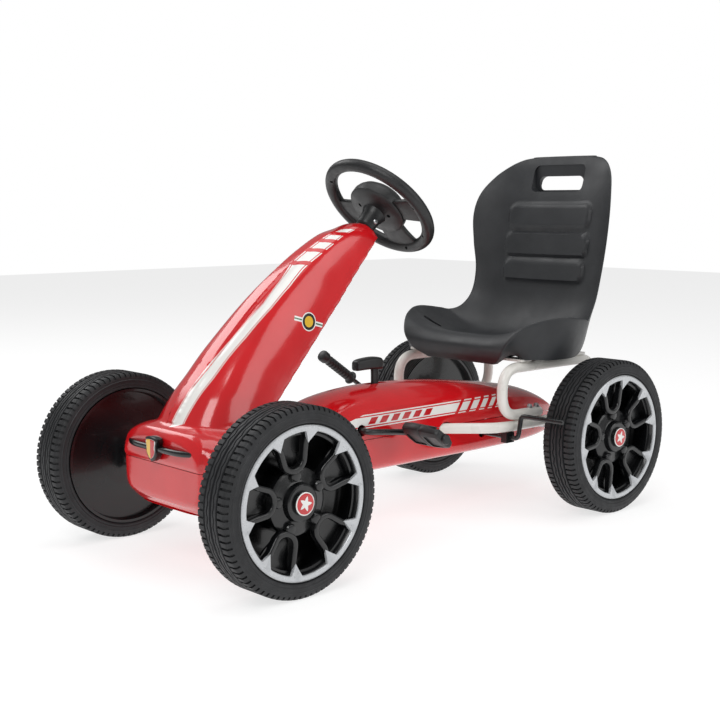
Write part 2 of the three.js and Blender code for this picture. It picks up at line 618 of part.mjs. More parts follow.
for (const [name, side] of sides) {
  add(kart, `frame_rail_${name}`, rail(side).subtract(boxBetween([-BIG, -BIG, 0], [BIG, RAIL_ROOT_Y - 8 + JUNCTION_T + GAP, BIG])), MAT.white);
  add(kart, `seat_loop_${name}`, pipe(loopPoints(side), TUBE_R, 40, 10), MAT.white);
  add(kart, `axle_bracket_${name}`, axleBracket(side), MAT.white);
  add(kart, `axle_bearing_${name}`, axleBearing(side), MAT.nylon);
}
const STRAP_T = 4;
for (const [name, y] of [['front', 238], ['rear', 386]])
  add(
    kart, `seat_strap_${name}`,
    box(2 * (RAIL_X + TUBE_R), 26, STRAP_T, v3(0, y, LOOP_TOP_Z + TUBE_R + GAP + STRAP_T / 2)),
    MAT.white,
  );

// ---------------------------------------------------------------- seat
// Rows from the front lip to the top: y and z of the middle of the sitting surface, direction of its
// normal in degrees from +Y, half width, how far the wings stand above the middle, thickness, and how
// much further the underside hangs at its sides.
const SEAT_BASE_Z = LOOP_TOP_Z + TUBE_R + 2 * GAP + STRAP_T;
const SEAT = [
  [216, 255, 176, 84, 2, 12, 0],
  [206, 268, 168, 106, 5, 13, 0],
  [204, 285, 145, 122, 10, 14, 0],
  [219, 299, 108, 140, 22, 14, 4],
  [242, 300, 84, 160, 36, 14, 9],
  [264, 294, 82, 173, 47, 14, 11],
  [290, 286, 84, 181, 56, 14, 11],
  [322, 281, 90, 181, 58, 14, 10],
  [353, 280, 100, 177, 56, 14, 8],
  [386, 288, 122, 170, 50, 15, 3],
  [413, 312, 143, 159, 40, 17, 0],
  [433, 350, 160, 153, 31, 17, 0],
  [445, 400, 170, 154, 29, 16, 0],
  [454, 450, 171, 162, 37, 16, 0],
  [462, 500, 170, 166, 43, 16, 0],
  [471, 540, 169, 159, 40, 17, 0],
  [482, 574, 168, 141, 27, 18, 0],
  [489, 598, 167, 119, 12, 17, 0],
  [494, 611, 166, 101, 3, 14, 0],
  [496, 617, 166, 90, -2, 12, 0],
].map((row) => [row[0], row[1], row[2], row[3] * SEAT_WIDTH / 332, row[4], row[5], row[6]]);
const SEAT_ACROSS = 11;
// The underside is nearly flat across, so the wings have deep side walls.
function seatRing(row) {
  const [y, z, direction, half, wing, thickness, skirt] = row;
  const up = v3(0, Math.cos(rad(direction)), Math.sin(rad(direction)));
  const at = (u, lift) => v3(half * u, y, z).addScaledVector(up, lift);
  const across = Array.from({ length: SEAT_ACROSS }, (_, i) => -1 + (2 * i) / (SEAT_ACROSS - 1));
  const top = across.map((u) => at(u, wing * Math.abs(u) ** 3.2));
  const under = across.reverse().map((u) => at(u * 0.94, 0.12 * wing * u * u - thickness - skirt * Math.max(0, Math.abs(u) - 0.7) / 0.3));
  return [...top, ...under];
}
const HOLE = { halfWidth: 52, z: 568, halfHeight: 13 };
const seatBody = loft(SEAT.map(seatRing));
const handHole = boxBetween([-HOLE.halfWidth, 400, HOLE.z - HOLE.halfHeight], [HOLE.halfWidth, 560, HOLE.z + HOLE.halfHeight]);
// A moulded block under the pan rests on the two straps.
const seatFoot = boxBetween([-96, 226, SEAT_BASE_Z], [96, 398, 290]).intersect(loft(SEAT.map((row) => seatRing(row).map((p) => p.clone().add(v3(0, 0, -4))))).hull());
add(kart, 'seat_shell', seatBody.add(seatFoot).subtract(handHole), MAT.seat);

// ---------------------------------------------------------------- drive
const armDirection = (side) => v3(0, side * Math.cos(rad(CRANK_DROP)), -side * Math.sin(rad(CRANK_DROP)));
const CRANK_OUT_X = 80;
function crankAxle() {
  const axis = v3(0, CRANK_Y, CRANK_Z);
  const ends = sides.map(([, side]) => axis.clone().addScaledVector(armDirection(side), CRANK_R));
  const x = (p, value) => v3(value, p.y, p.z);
  const points = [
    x(ends[0], PEDAL_INNER_X + PEDAL_W + 4), x(ends[0], CRANK_OUT_X), x(axis, CRANK_OUT_X),
    x(axis, -CRANK_OUT_X), x(ends[1], -CRANK_OUT_X), x(ends[1], -PEDAL_INNER_X - PEDAL_W - 4),
  ];
  return pipe(points, CRANK_ROD_R, 10);
}
add(kart, 'crank_axle', crankAxle(), MAT.darkSteel);

function sprocket(y, z, radius, bore, teeth) {
  const shape = new THREE.Shape();
  for (let i = 0; i < teeth * 2; i++) {
    const a = (Math.PI * i) / teeth;
    const r = i % 2 ? radius : radius - 4;
    shape[i ? 'lineTo' : 'moveTo'](r * Math.cos(a), r * Math.sin(a));
  }
  const g = new THREE.ExtrudeGeometry(shape, { depth: 3, bevelEnabled: false });
  g.rotateY(Math.PI / 2);
  g.translate(CHAIN_X - 1.5, y, z);
  const hub = bar(v3(CHAIN_X - 8, y, z), v3(CHAIN_X + 8, y, z), bore + 6, 14);
  return solid(g).add(hub).subtract(bar(v3(CHAIN_X - 12, y, z), v3(CHAIN_X + 12, y, z), bore, 12));
}
const CRANK_TEETH = 18;
const AXLE_TEETH = 10;
add(kart, 'crank_sprocket', sprocket(CRANK_Y, CRANK_Z, CRANK_SPROCKET_R, CRANK_ROD_R + FIT, CRANK_TEETH), MAT.darkSteel);
add(kart, 'axle_sprocket', sprocket(AXLE_Y, WHEEL_R, AXLE_SPROCKET_R, AXLE_R + FIT, AXLE_TEETH), MAT.darkSteel);

// The chain is a closed band just outside both sprockets.
function chain() {
  const outline = (extra) => {
    const a = { y: CRANK_Y, z: CRANK_Z, r: CRANK_SPROCKET_R + extra };
    const b = { y: AXLE_Y, z: WHEEL_R, r: AXLE_SPROCKET_R + extra };
    const span = Math.hypot(b.y - a.y, b.z - a.z);
    const slope = Math.atan2(b.z - a.z, b.y - a.y);
    const wrap = Math.acos((a.r - b.r) / span);
    const arc = (c, from, to) =>
      Array.from({ length: 13 }, (_, i) => {
        const t = from + ((to - from) * i) / 12;
        return new THREE.Vector2(c.y + c.r * Math.cos(t), c.z + c.r * Math.sin(t));
      });
    return [...arc(a, slope + wrap, slope + 2 * Math.PI - wrap), ...arc(b, slope - wrap, slope + wrap)];
  };
  const shape = new THREE.Shape(outline(0.8 + CHAIN_T));
  shape.holes.push(new THREE.Path(outline(0.8)));
  const g = new THREE.ExtrudeGeometry(shape, { depth: CHAIN_W, bevelEnabled: false });
  g.applyMatrix4(new THREE.Matrix4().makeBasis(v3(0, 1, 0), v3(0, 0, 1), v3(1, 0, 0)));
  g.translate(CHAIN_X - CHAIN_W / 2, 0, 0);
  return solid(g);
}
add(kart, 'drive_chain', chain(), MAT.darkSteel);

const shaftEnd = WHEEL_X + TYRE_W / 2 - 4;
add(kart, 'rear_axle', bar(v3(-shaftEnd, AXLE_Y, WHEEL_R), v3(shaftEnd, AXLE_Y, WHEEL_R), AXLE_R, 12), MAT.steel);

function pedal(side) {
  const block = new THREE.Shape();
  const [l, t] = [PEDAL_L / 2, PEDAL_T / 2];
  block.moveTo(-l, t - 5);
  block.lineTo(-l + 5, t);
  block.lineTo(l - 5, t);
  block.lineTo(l, t - 5);
  block.lineTo(l * 0.6, -t);
  block.lineTo(-l * 0.6, -t);
  const g = new THREE.ExtrudeGeometry(block, { depth: PEDAL_W, bevelEnabled: false });
  g.applyMatrix4(new THREE.Matrix4().makeBasis(v3(0, 1, 0), v3(0, 0, 1), v3(1, 0, 0)));
  const made = solid(g).subtract(bar(v3(-1, 0, 0), v3(PEDAL_W + 1, 0, 0), CRANK_ROD_R + FIT + 0.4, 12));
  const centre = v3(0, CRANK_Y, CRANK_Z).addScaledVector(armDirection(side), CRANK_R);
  return { made, centre };
}
for (const [name, side] of sides) {
  const { made, centre } = pedal(side);
  const mesh = add(kart, `pedal_${name}`, made, MAT.black);
  mesh.position.set(side > 0 ? PEDAL_INNER_X : -PEDAL_INNER_X - PEDAL_W, centre.y, centre.z);
  mesh.rotation.x = rad(PEDAL_TILT * side);
}

// ---------------------------------------------------------------- hand brake
// One bent rod: a cross shaft under the rails, an arm and a shoe at each rear tyre, and the lever on the right.
const LEVER_X = -158;
const SHOE_END_X = 236;
const SHOE_ARM_X = 146;
const pivot = v3(0, BRAKE_PIVOT_Y, BRAKE_PIVOT_Z);
const brakeAt = (x, dy, dz) => v3(x, BRAKE_PIVOT_Y + dy, BRAKE_PIVOT_Z + dz);
const LEVER_KNEE = [-48, 42];
const LEVER_REACH = [-112, 86];
function brakeRod() {
  const shaft = pipe(
    [
      brakeAt(SHOE_END_X, 8, BRAKE_ARM), brakeAt(SHOE_ARM_X, 8, BRAKE_ARM), brakeAt(SHOE_ARM_X, 0, 0),
      brakeAt(-SHOE_ARM_X, 0, 0), brakeAt(-SHOE_ARM_X, 8, BRAKE_ARM), brakeAt(-SHOE_END_X, 8, BRAKE_ARM),
    ],
    BRAKE_ROD_R, 8,
  );
  const root = brakeAt(LEVER_X, 8, BRAKE_ARM);
  const lever = pipe([root, brakeAt(LEVER_X, ...LEVER_KNEE), brakeAt(LEVER_X, ...LEVER_REACH)], BRAKE_ROD_R, 20);
  return shaft.add(lever);
}
add(kart, 'brake_lever', brakeRod(), MAT.darkSteel);
const gripFrom = brakeAt(LEVER_X, ...LEVER_REACH);
const gripDirection = v3(0, LEVER_REACH[0] - LEVER_KNEE[0], LEVER_REACH[1] - LEVER_KNEE[1]).normalize();
function brakeGrip() {
  const at = (d) => gripFrom.clone().addScaledVector(gripDirection, d);
  const body = bar(at(-4), at(70), 8.5, 14);
  const flange = bar(at(-8), at(-3), 12, 14);
  const knob = bar(at(66), at(78), 10.5, 14);
  return union(body, flange, knob).subtract(bar(at(-12), at(1), BRAKE_ROD_R + 0.4, 8));
}
add(kart, 'brake_grip', brakeGrip(), MAT.black);
for (const [name, side] of sides) {
  const x = side * (RAIL_X - 2);
  const clip = box(12, 20, RAIL_Z - TUBE_R - GAP - BRAKE_PIVOT_Z + 9, v3(x, BRAKE_PIVOT_Y, (RAIL_Z - TUBE_R - GAP + BRAKE_PIVOT_Z - 9) / 2));
  add(kart, `brake_clip_${name}`, clip.subtract(bar(v3(x - 8, BRAKE_PIVOT_Y, BRAKE_PIVOT_Z), v3(x + 8, BRAKE_PIVOT_Y, BRAKE_PIVOT_Z), BRAKE_ROD_R + FIT + 0.2, 12)), MAT.black);
}

// ---------------------------------------------------------------- gear lever
const LEVER_FOOT_Z = 178;
const KNOB_Z = 268;
const EAR_X = 7 + GAP;
const EAR_T = 3.5;
const leverAt = (dy, z) => v3(0, GEAR_LEVER_Y + dy, z);
const leverPin = (reach, radius) => bar(v3(-reach, GEAR_LEVER_Y, LEVER_FOOT_Z), v3(reach, GEAR_LEVER_Y, LEVER_FOOT_Z), radius, 12);
function gearLeverStem() {
  const blade = box(8, 14, KNOB_Z - 12 - LEVER_FOOT_Z, leverAt(0, (KNOB_Z - 12 + LEVER_FOOT_Z) / 2));
  return union(blade, leverPin(7, 8), leverPin(EAR_X + EAR_T + 1, 3));
}
function gearLeverBracket() {
  const foot = BACKBONE_Z + BACKBONE_R + GAP;
  const base = boxBetween([-EAR_X - EAR_T, GEAR_LEVER_Y - 10, foot], [EAR_X + EAR_T, GEAR_LEVER_Y + 10, foot + 4]);
  const ears = sides.map(([, side]) => {
    const [lo, hi] = side > 0 ? [EAR_X, EAR_X + EAR_T] : [-EAR_X - EAR_T, -EAR_X];
    return boxBetween([lo, GEAR_LEVER_Y - 10, foot], [hi, GEAR_LEVER_Y + 10, LEVER_FOOT_Z + 8]);
  });
  return union(base, ...ears).subtract(leverPin(EAR_X + EAR_T + 3, 3 + FIT));
}
add(kart, 'gear_lever_stem', gearLeverStem(), MAT.black);
add(kart, 'gear_lever_knob', box(22, 58, 20, leverAt(-8, KNOB_Z - 12 + GAP + 10)), MAT.black);
add(kart, 'gear_lever_bracket', gearLeverBracket(), MAT.darkSteel);

// The origin is under the middle of the whole kart.
const bounds = new THREE.Box3().setFromObject(kart);
kart.position.y = -(bounds.min.y + bounds.max.y) / 2;
const part = new THREE.Group();
part.add(kart);
export default part;
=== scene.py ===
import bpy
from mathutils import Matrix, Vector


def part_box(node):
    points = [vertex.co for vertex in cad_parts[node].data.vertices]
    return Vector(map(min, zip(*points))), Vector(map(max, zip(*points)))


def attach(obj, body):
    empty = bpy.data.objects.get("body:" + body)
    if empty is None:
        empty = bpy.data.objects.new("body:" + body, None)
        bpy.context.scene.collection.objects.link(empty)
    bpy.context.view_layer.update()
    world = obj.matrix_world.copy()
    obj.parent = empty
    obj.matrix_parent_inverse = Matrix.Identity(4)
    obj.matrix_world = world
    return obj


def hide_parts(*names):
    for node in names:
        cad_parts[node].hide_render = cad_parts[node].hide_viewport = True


bl_info = {
    "name": "Pedal go kart",
    "version": (1, 0, 0),
    "blender": (4, 5, 0),
    "location": "3D View > Sidebar > Kart",
    "description": "Builds a child's pedal go kart piece by piece around its CAD frame",
    "category": "Object",
}

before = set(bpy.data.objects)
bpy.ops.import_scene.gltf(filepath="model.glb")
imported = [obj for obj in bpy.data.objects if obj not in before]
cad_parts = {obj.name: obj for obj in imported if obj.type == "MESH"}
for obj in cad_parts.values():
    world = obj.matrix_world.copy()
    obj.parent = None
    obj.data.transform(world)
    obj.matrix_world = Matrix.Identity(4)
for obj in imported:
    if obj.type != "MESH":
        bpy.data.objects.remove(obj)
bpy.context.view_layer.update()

import math

import bpy
from bpy.props import FloatProperty, FloatVectorProperty, IntProperty, PointerProperty
from mathutils import Matrix, Vector

MM = 0.001
SIDES = (("left", 1), ("right", -1))
WHEELS = tuple((end, side, sign) for end in ("front", "rear") for side, sign in SIDES)


# ---------------------------------------------------------------- places
def middle(node):
    """The centre of a CAD node's box."""
    low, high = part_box(node)
    return (Vector(low) + Vector(high)) / 2


# Lengths below are in millimetres from the point on the ground midway between the axles.
MID_Y = (middle("tyre_front_left").y + middle("tyre_rear_left").y) / 2


def at(x, y, z):
    """A point in metres from millimetres: x to the driver's left, y rearward, z up."""
    return Vector((x * MM, y * MM + MID_Y, z * MM))


COLUMN_TILT = math.radians(44.6)
UP_COLUMN = Vector((0, math.cos(COLUMN_TILT), math.sin(COLUMN_TILT)))
OVER_COLUMN = Vector((0, -math.sin(COLUMN_TILT), math.cos(COLUMN_TILT)))
WHEEL_HEIGHT = at(0, 18, 524)  # the middle of the steering wheel


def on_column(x, up, over):
    """A point given across, up and square to the steering column."""
    return WHEEL_HEIGHT + Vector((x * MM, 0, 0)) + UP_COLUMN * up * MM + OVER_COLUMN * over * MM


def row_at(rows, key):
    """The row at that key, on a smooth curve through the rows beside it."""
    i = max(0, min(len(rows) - 2, sum(1 for row in rows[1:-1] if key >= row[0])))
    a, b = rows[i], rows[i + 1]
    before = rows[i - 1] if i else None
    after = rows[i + 2] if i + 2 < len(rows) else None
    span = b[0] - a[0]
    t = (key - a[0]) / span
    out = []
    for c in range(len(a)):
        straight = b[c] - a[c]
        leave = (b[c] - before[c]) / (b[0] - before[0]) * span if before else straight
        arrive = (after[c] - a[c]) / (after[0] - a[0]) * span if after else straight
        out.append(
            (2 * t**3 - 3 * t**2 + 1) * a[c] + (t**3 - 2 * t**2 + t) * leave
            + (3 * t**2 - 2 * t**3) * b[c] + (t**3 - t**2) * arrive
        )
    return out


def power(value, exponent):
    return math.copysign(abs(value) ** exponent, value)


# ---------------------------------------------------------------- modelling
def nothing_selected():
    if bpy.context.object and bpy.context.object.mode != "OBJECT":
        bpy.ops.object.mode_set(mode="OBJECT")
    bpy.ops.object.select_all(action="DESELECT")


def only(obj):
    nothing_selected()
    obj.select_set(True)
    bpy.context.view_layer.objects.active = obj


def edit(obj, *steps):
    """Runs the steps in edit mode with all of the piece selected."""
    only(obj)
    bpy.ops.object.mode_set(mode="EDIT")
    bpy.ops.mesh.select_all(action="SELECT")
    for step in steps:
        step()
    bpy.ops.object.mode_set(mode="OBJECT")
    return obj


def tidy_mesh():
    bpy.ops.mesh.remove_doubles(threshold=2e-6)
    bpy.ops.mesh.select_all(action="SELECT")
    bpy.ops.mesh.normals_make_consistent(inside=False)


def close_ends():
    bpy.ops.mesh.remove_doubles(threshold=2e-6)
    bpy.ops.mesh.select_all(action="DESELECT")
    bpy.ops.mesh.select_non_manifold()
    bpy.ops.mesh.fill_holes(sides=0)
    bpy.ops.mesh.select_all(action="SELECT")
    bpy.ops.mesh.normals_make_consistent(inside=False)


def select_faces(obj, test):
    """Selects the faces whose centre and normal pass the test."""
    only(obj)
    for part in (obj.data.vertices, obj.data.edges, obj.data.polygons):
        part.foreach_set("select", [False] * len(part))
    for face in obj.data.polygons:
        face.select = bool(test(face.center, face.normal))


def sheet_of(name, columns, rows, place, finish=tidy_mesh):
    """A grid whose vertices are set by place(column, row)."""
    nothing_selected()
    bpy.ops.mesh.primitive_grid_add(x_subdivisions=columns - 1, y_subdivisions=rows - 1, size=1)
    obj = bpy.context.object
    obj.name = name
    if len(obj.data.vertices) != columns * rows:
        raise RuntimeError(f"{name}: the grid has {len(obj.data.vertices)} points")
    for vertex in obj.data.vertices:
        i = round((vertex.co.x + 0.5) * (columns - 1))
        j = round((vertex.co.y + 0.5) * (rows - 1))
        vertex.co = place(i, j)
    return edit(obj, finish)


def rounded(corners, reach, steps=8):
    """The corner points of a bent bar, each corner turned into an arc that starts that far before it."""
    out = [corners[0]]
    for before, corner, after in zip(corners, corners[1:], corners[2:]):
        first = corner + (before - corner).normalized() * min(reach * MM, (before - corner).length * 0.49)
        last = corner + (after - corner).normalized() * min(reach * MM, (after - corner).length * 0.49)
        for k in range(steps + 1):
            t = k / steps
            out.append(first * (1 - t) ** 2 + corner * 2 * t * (1 - t) + last * t**2)
    out.append(corners[-1])
    return out


def circle(radius, count=24):
    turns = [2 * math.pi * k / count for k in range(count)]
    return [(radius * math.cos(a), radius * math.sin(a)) for a in turns]


def rounded_block(wide, tall, corner, steps=4):
    """A rounded rectangle as a closed list of points."""
    out = []
    for q, (sx, sy) in enumerate(((1, 1), (-1, 1), (-1, -1), (1, -1))):
        for k in range(steps + 1):
            a = math.pi / 2 * (q + k / steps)
            across, above = sx * (wide / 2 - corner), sy * (tall / 2 - corner)
            out.append((across + corner * math.cos(a), above + corner * math.sin(a)))
    return out


def sweep(name, path, section, up=Vector((0, 0, 1)), scale=None, closed=False):
    """A section drawn along a path. scale(t) may size it along the way."""
    count = len(section)
    frames = []
    side = None
    for k, point in enumerate(path):
        before = path[k - 1] if closed or k else path[0]
        after = path[(k + 1) % len(path)] if closed or k + 1 < len(path) else path[-1]
        along = (after - before).normalized()
        side = along.cross(up).normalized() if side is None else (side - along * side.dot(along)).normalized()
        frames.append((point, side, side.cross(along).normalized()))
    if closed:
        frames.append(frames[0])

    def place(i, j):
        point, across, over = frames[j]
        a, b = section[i % count]
        size = scale(j / (len(frames) - 1)) if scale else 1
        return point + (across * a + over * b) * size * MM

    return sheet_of(name, count + 1, len(frames), place, tidy_mesh if closed else close_ends)


def turned(name, profile, origin, axis, steps=48, closed=False):
    """A profile of (distance along the axis, radius) turned round it."""
    axis = axis.normalized()
    helper = Vector((0, 0, 1)) if abs(axis.z) < 0.9 else Vector((0, 1, 0))
    first = axis.cross(helper).normalized()
    second = axis.cross(first)
    if closed:
        profile = list(profile) + [profile[0]]

    def place(i, j):
        along, radius = profile[i]
        a = 2 * math.pi * (j % steps) / steps
        return origin + (axis * along + (first * math.cos(a) + second * math.sin(a)) * radius) * MM

    return sheet_of(name, len(profile), steps + 1, place)


def join(name, *objs):
    """Joins pieces into the first one."""
    only(objs[0])
    for obj in objs[1:]:
        obj.select_set(True)
    bpy.ops.object.join()
    out = bpy.context.object
    out.name = name
    return out


def cut(obj, point, normal, fill=False):
    """Cuts away what lies on the side that the normal points to."""
    edit(obj, lambda: bpy.ops.mesh.bisect(
        plane_co=point, plane_no=normal, clear_outer=True, clear_inner=False, use_fill=fill))
    return obj


def modified(obj, kind, **settings):
    """Adds a modifier and applies it."""
    only(obj)
    modifier = obj.modifiers.new(kind.lower(), kind)
    for key, value in settings.items():
        setattr(modifier, key, value)
    bpy.ops.object.modifier_apply(modifier=modifier.name)
    return obj


def carved(obj, tool, operation="DIFFERENCE", solver="EXACT"):
    """Takes the tool's solid out of the piece, or adds it."""
    modified(obj, "BOOLEAN", object=tool, operation=operation, solver=solver)
    bpy.data.objects.remove(tool)
    return obj


def copied(obj, name, matrix):
    """A copy with its own mesh, moved by the matrix in its mesh."""
    nothing_selected()
    twin = obj.copy()
    twin.data = obj.data.copy()
    twin.name = name
    bpy.context.scene.collection.objects.link(twin)
    twin.data.transform(matrix)
    if matrix.determinant() < 0:
        edit(twin, lambda: bpy.ops.mesh.flip_normals())
    return twin


def bevelled(obj, width, angle=30, segments=2):
    return modified(obj, "BEVEL", width=width * MM, segments=segments, limit_method="ANGLE",
                    angle_limit=math.radians(angle), harden_normals=False)


def block(name, low, high, corner=1.0):
    """A bevelled box between two corners, for plates and lugs."""
    nothing_selected()
    low, high = at(*low), at(*high)
    bpy.ops.mesh.primitive_cube_add(size=1, location=(low + high) / 2, scale=high - low)
    obj = bpy.context.object
    obj.name = name
    bpy.ops.object.transform_apply(location=True, rotation=True, scale=True)
    return bevelled(obj, corner, segments=3)


def piece(obj, name, body, finish, nodes=(), angle=32):
    """Names a piece, smooths it, gives it its finish, hangs it under the empty of the body it rides on, and
    hides the CAD nodes it stands for.
    """
    only(obj)
    bpy.ops.object.transform_apply(location=True, rotation=True, scale=True)
    bpy.ops.object.shade_smooth_by_angle(angle=math.radians(angle))
    obj.name = name
    obj.data.name = name
    if finish is not None:
        obj.data.materials.clear()
        obj.data.materials.append(finish)
    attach(obj, body)
    if nodes:
        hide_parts(*nodes)
    return obj


# ---------------------------------------------------------------- finishes
def colour(text):
    """An sRGB hex value as a linear colour."""
    parts = [int(text[i : i + 2], 16) / 255 for i in (1, 3, 5)]
    return tuple(c / 12.92 if c <= 0.04045 else ((c + 0.055) / 1.055) ** 2.4 for c in parts) + (1,)


def node(tree, kind, links=(), **settings):
    """Adds a node. Settings are properties or inputs; links are (input, output socket)."""
    made = tree.nodes.new("ShaderNode" + kind)
    for key, value in settings.items():
        name = key.replace("_", " ")
        if hasattr(made, key):
            setattr(made, key, value)
        else:
            made.inputs[name].default_value = value
    for target, source in links:
        tree.links.new(source, made.inputs[target])
    return made


def finish_of(name, base, rough, metal=0.0, coat=0.0, ior=1.5):
    """A material with its shader, and the shader and tree to add to."""
    made = bpy.data.materials.new(name)
    made.use_nodes = True
    tree = made.node_tree
    shader = tree.nodes["Principled BSDF"]
    shader.inputs["Base Color"].default_value = colour(base)
    shader.inputs["Roughness"].default_value = rough
    shader.inputs["Metallic"].default_value = metal
    shader.inputs["Coat Weight"].default_value = coat
    shader.inputs["Coat Roughness"].default_value = 0.06
    if not metal:
        shader.inputs["IOR"].default_value = ior
    return made, tree, shader


def places(tree):
    """Object coordinates in metres."""
    return node(tree, "TexCoord").outputs["Object"]


def noise(tree, size_mm, detail=3.0, stretch=None):
    """Noise whose grains are about that many millimetres across."""
    source = places(tree)
    if stretch:
        source = node(tree, "Mapping", [("Vector", source)], Scale=stretch).outputs["Vector"]
    return node(tree, "TexNoise", [("Vector", source)], Scale=1 / (size_mm * MM), Detail=detail)


def grained(tree, shader, size_mm, height_mm, rough_low, rough_high, stretch=None):
    """Bump and a little change of gloss from the same grain."""
    grain = noise(tree, size_mm, 4.0, stretch)
    bump = node(tree, "Bump", [("Height", grain.outputs["Fac"])], Strength=1.0, Distance=height_mm * MM)
    patchy = noise(tree, size_mm * 14, 2.0, stretch)
    rough = node(tree, "MapRange", [("Value", patchy.outputs["Fac"])],
                 From_Min=0.3, From_Max=0.7, To_Min=rough_low, To_Max=rough_high)
    tree.links.new(bump.outputs["Normal"], shader.inputs["Normal"])
    tree.links.new(rough.outputs["Result"], shader.inputs["Roughness"])


def shaded(tree, shader, base, dark, size_mm, amount=1.0):
    """Lets the colour drift between two near values in soft patches."""
    patch = noise(tree, size_mm, 3.0)
    ramp = node(tree, "ValToRGB", [("Fac", patch.outputs["Fac"])])
    ramp.color_ramp.elements[0].position = 0.3
    ramp.color_ramp.elements[1].position = 0.7
    ramp.color_ramp.elements[0].color = colour(dark)
    ramp.color_ramp.elements[1].color = colour(base)
    tree.links.new(ramp.outputs["Color"], shader.inputs["Base Color"])
    return ramp.outputs["Color"]


def maths(tree, operation, a, b=None, c=None):
    """One sum on sockets or numbers."""
    made = node(tree, "Math", operation=operation)
    for k, value in enumerate((a, b, c)):
        if value is None:
            continue
        if isinstance(value, (int, float)):
            made.inputs[k].default_value = value
        else:
            tree.links.new(value, made.inputs[k])
    return made.outputs["Value"]


def band(tree, value, low, high):
    """1 where the value lies between two numbers."""
    return maths(tree, "COMPARE", value, (low + high) / 2, (high - low) / 2)


def all_of(tree, *masks):
    out = masks[0]
    for mask in masks[1:]:
        out = maths(tree, "MULTIPLY", out, mask)
    return out


def any_of(tree, *masks):
    out = masks[0]
    for mask in masks[1:]:
        out = maths(tree, "MAXIMUM", out, mask)
    return out


def painted(tree, shader, under, layers):
    """Lays flat printed colours over a base colour, each where its mask is 1."""
    current = under
    for mask, hex_value in layers:
        mix = node(tree, "Mix", data_type="RGBA")
        sockets = [s for s in mix.inputs if s.type == "RGBA"]
        factor = [s for s in mix.inputs if s.type == "VALUE"][0]
        tree.links.new(mask, factor)
        tree.links.new(current, sockets[0])
        sockets[1].default_value = colour(hex_value)
        current = [s for s in mix.outputs if s.type == "RGBA"][0]
    tree.links.new(current, shader.inputs["Base Color"])


def kart_axes(tree):
    """Object coordinates in millimetres from the middle of the wheelbase: x, y, z sockets."""
    split = node(tree, "SeparateXYZ", [("Vector", places(tree))])
    x = maths(tree, "MULTIPLY", split.outputs["X"], 1000)
    y = maths(tree, "MULTIPLY_ADD", split.outputs["Y"], 1000, -1000 * MID_Y)
    z = maths(tree, "MULTIPLY", split.outputs["Z"], 1000)
    return x, y, z


RED, DEEP_RED, PRINT_WHITE = "#D8141C", "#C90F17", "#F1F0EC"


def red_fairing_base(name):
    # ABS, injection moulded against a polished tool: a deep even red with sharp reflections and the
    # very slight long waviness of a moulded panel.
    made, tree, shader = finish_of(name, RED, 0.16, coat=0.6, ior=1.53)
    wave = noise(tree, 22, 1.0)
    bump = node(tree, "Bump", [("Height", wave.outputs["Fac"])], Strength=0.35, Distance=0.25 * MM)
    tree.links.new(bump.outputs["Normal"], shader.inputs["Normal"])
    scuff = noise(tree, 60, 3.0)
    rough = node(tree, "MapRange", [("Value", scuff.outputs["Fac"])], From_Min=0.3, From_Max=0.7,
                 To_Min=0.12, To_Max=0.22)
    tree.links.new(rough.outputs["Result"], shader.inputs["Roughness"])
    base = shaded(tree, shader, RED, DEEP_RED, 90)
    return made, tree, shader, base


# Where the printed stripe's two edges run on the bonnet: distance up the column, x of each edge.
STRIPE = ((-540, 5, 23), (-513, 6.5, 24.5), (-475, 10, 27), (-430, 12.5, 30.5), (-350, 20, 35.2),
          (-287, 25, 36),
          (-240, 19.6, 33), (-200, 13, 28.3), (-155, 13, 26), (-130, 13, 24.5), (-100, 13, 21.5),
          (-60, 12, 20))


def along_knots(tree, value, knots):
    """A value read off straight lines between knots (key, value)."""
    total = None
    for (k0, v0), (k1, v1) in zip(knots, knots[1:]):
        step = node(tree, "MapRange", [("Value", value)], From_Min=k0, From_Max=k1, To_Min=0, To_Max=v1 - v0)
        total = step.outputs["Result"] if total is None else maths(tree, "ADD", total, step.outputs["Result"])
    return maths(tree, "ADD", total, knots[0][1])


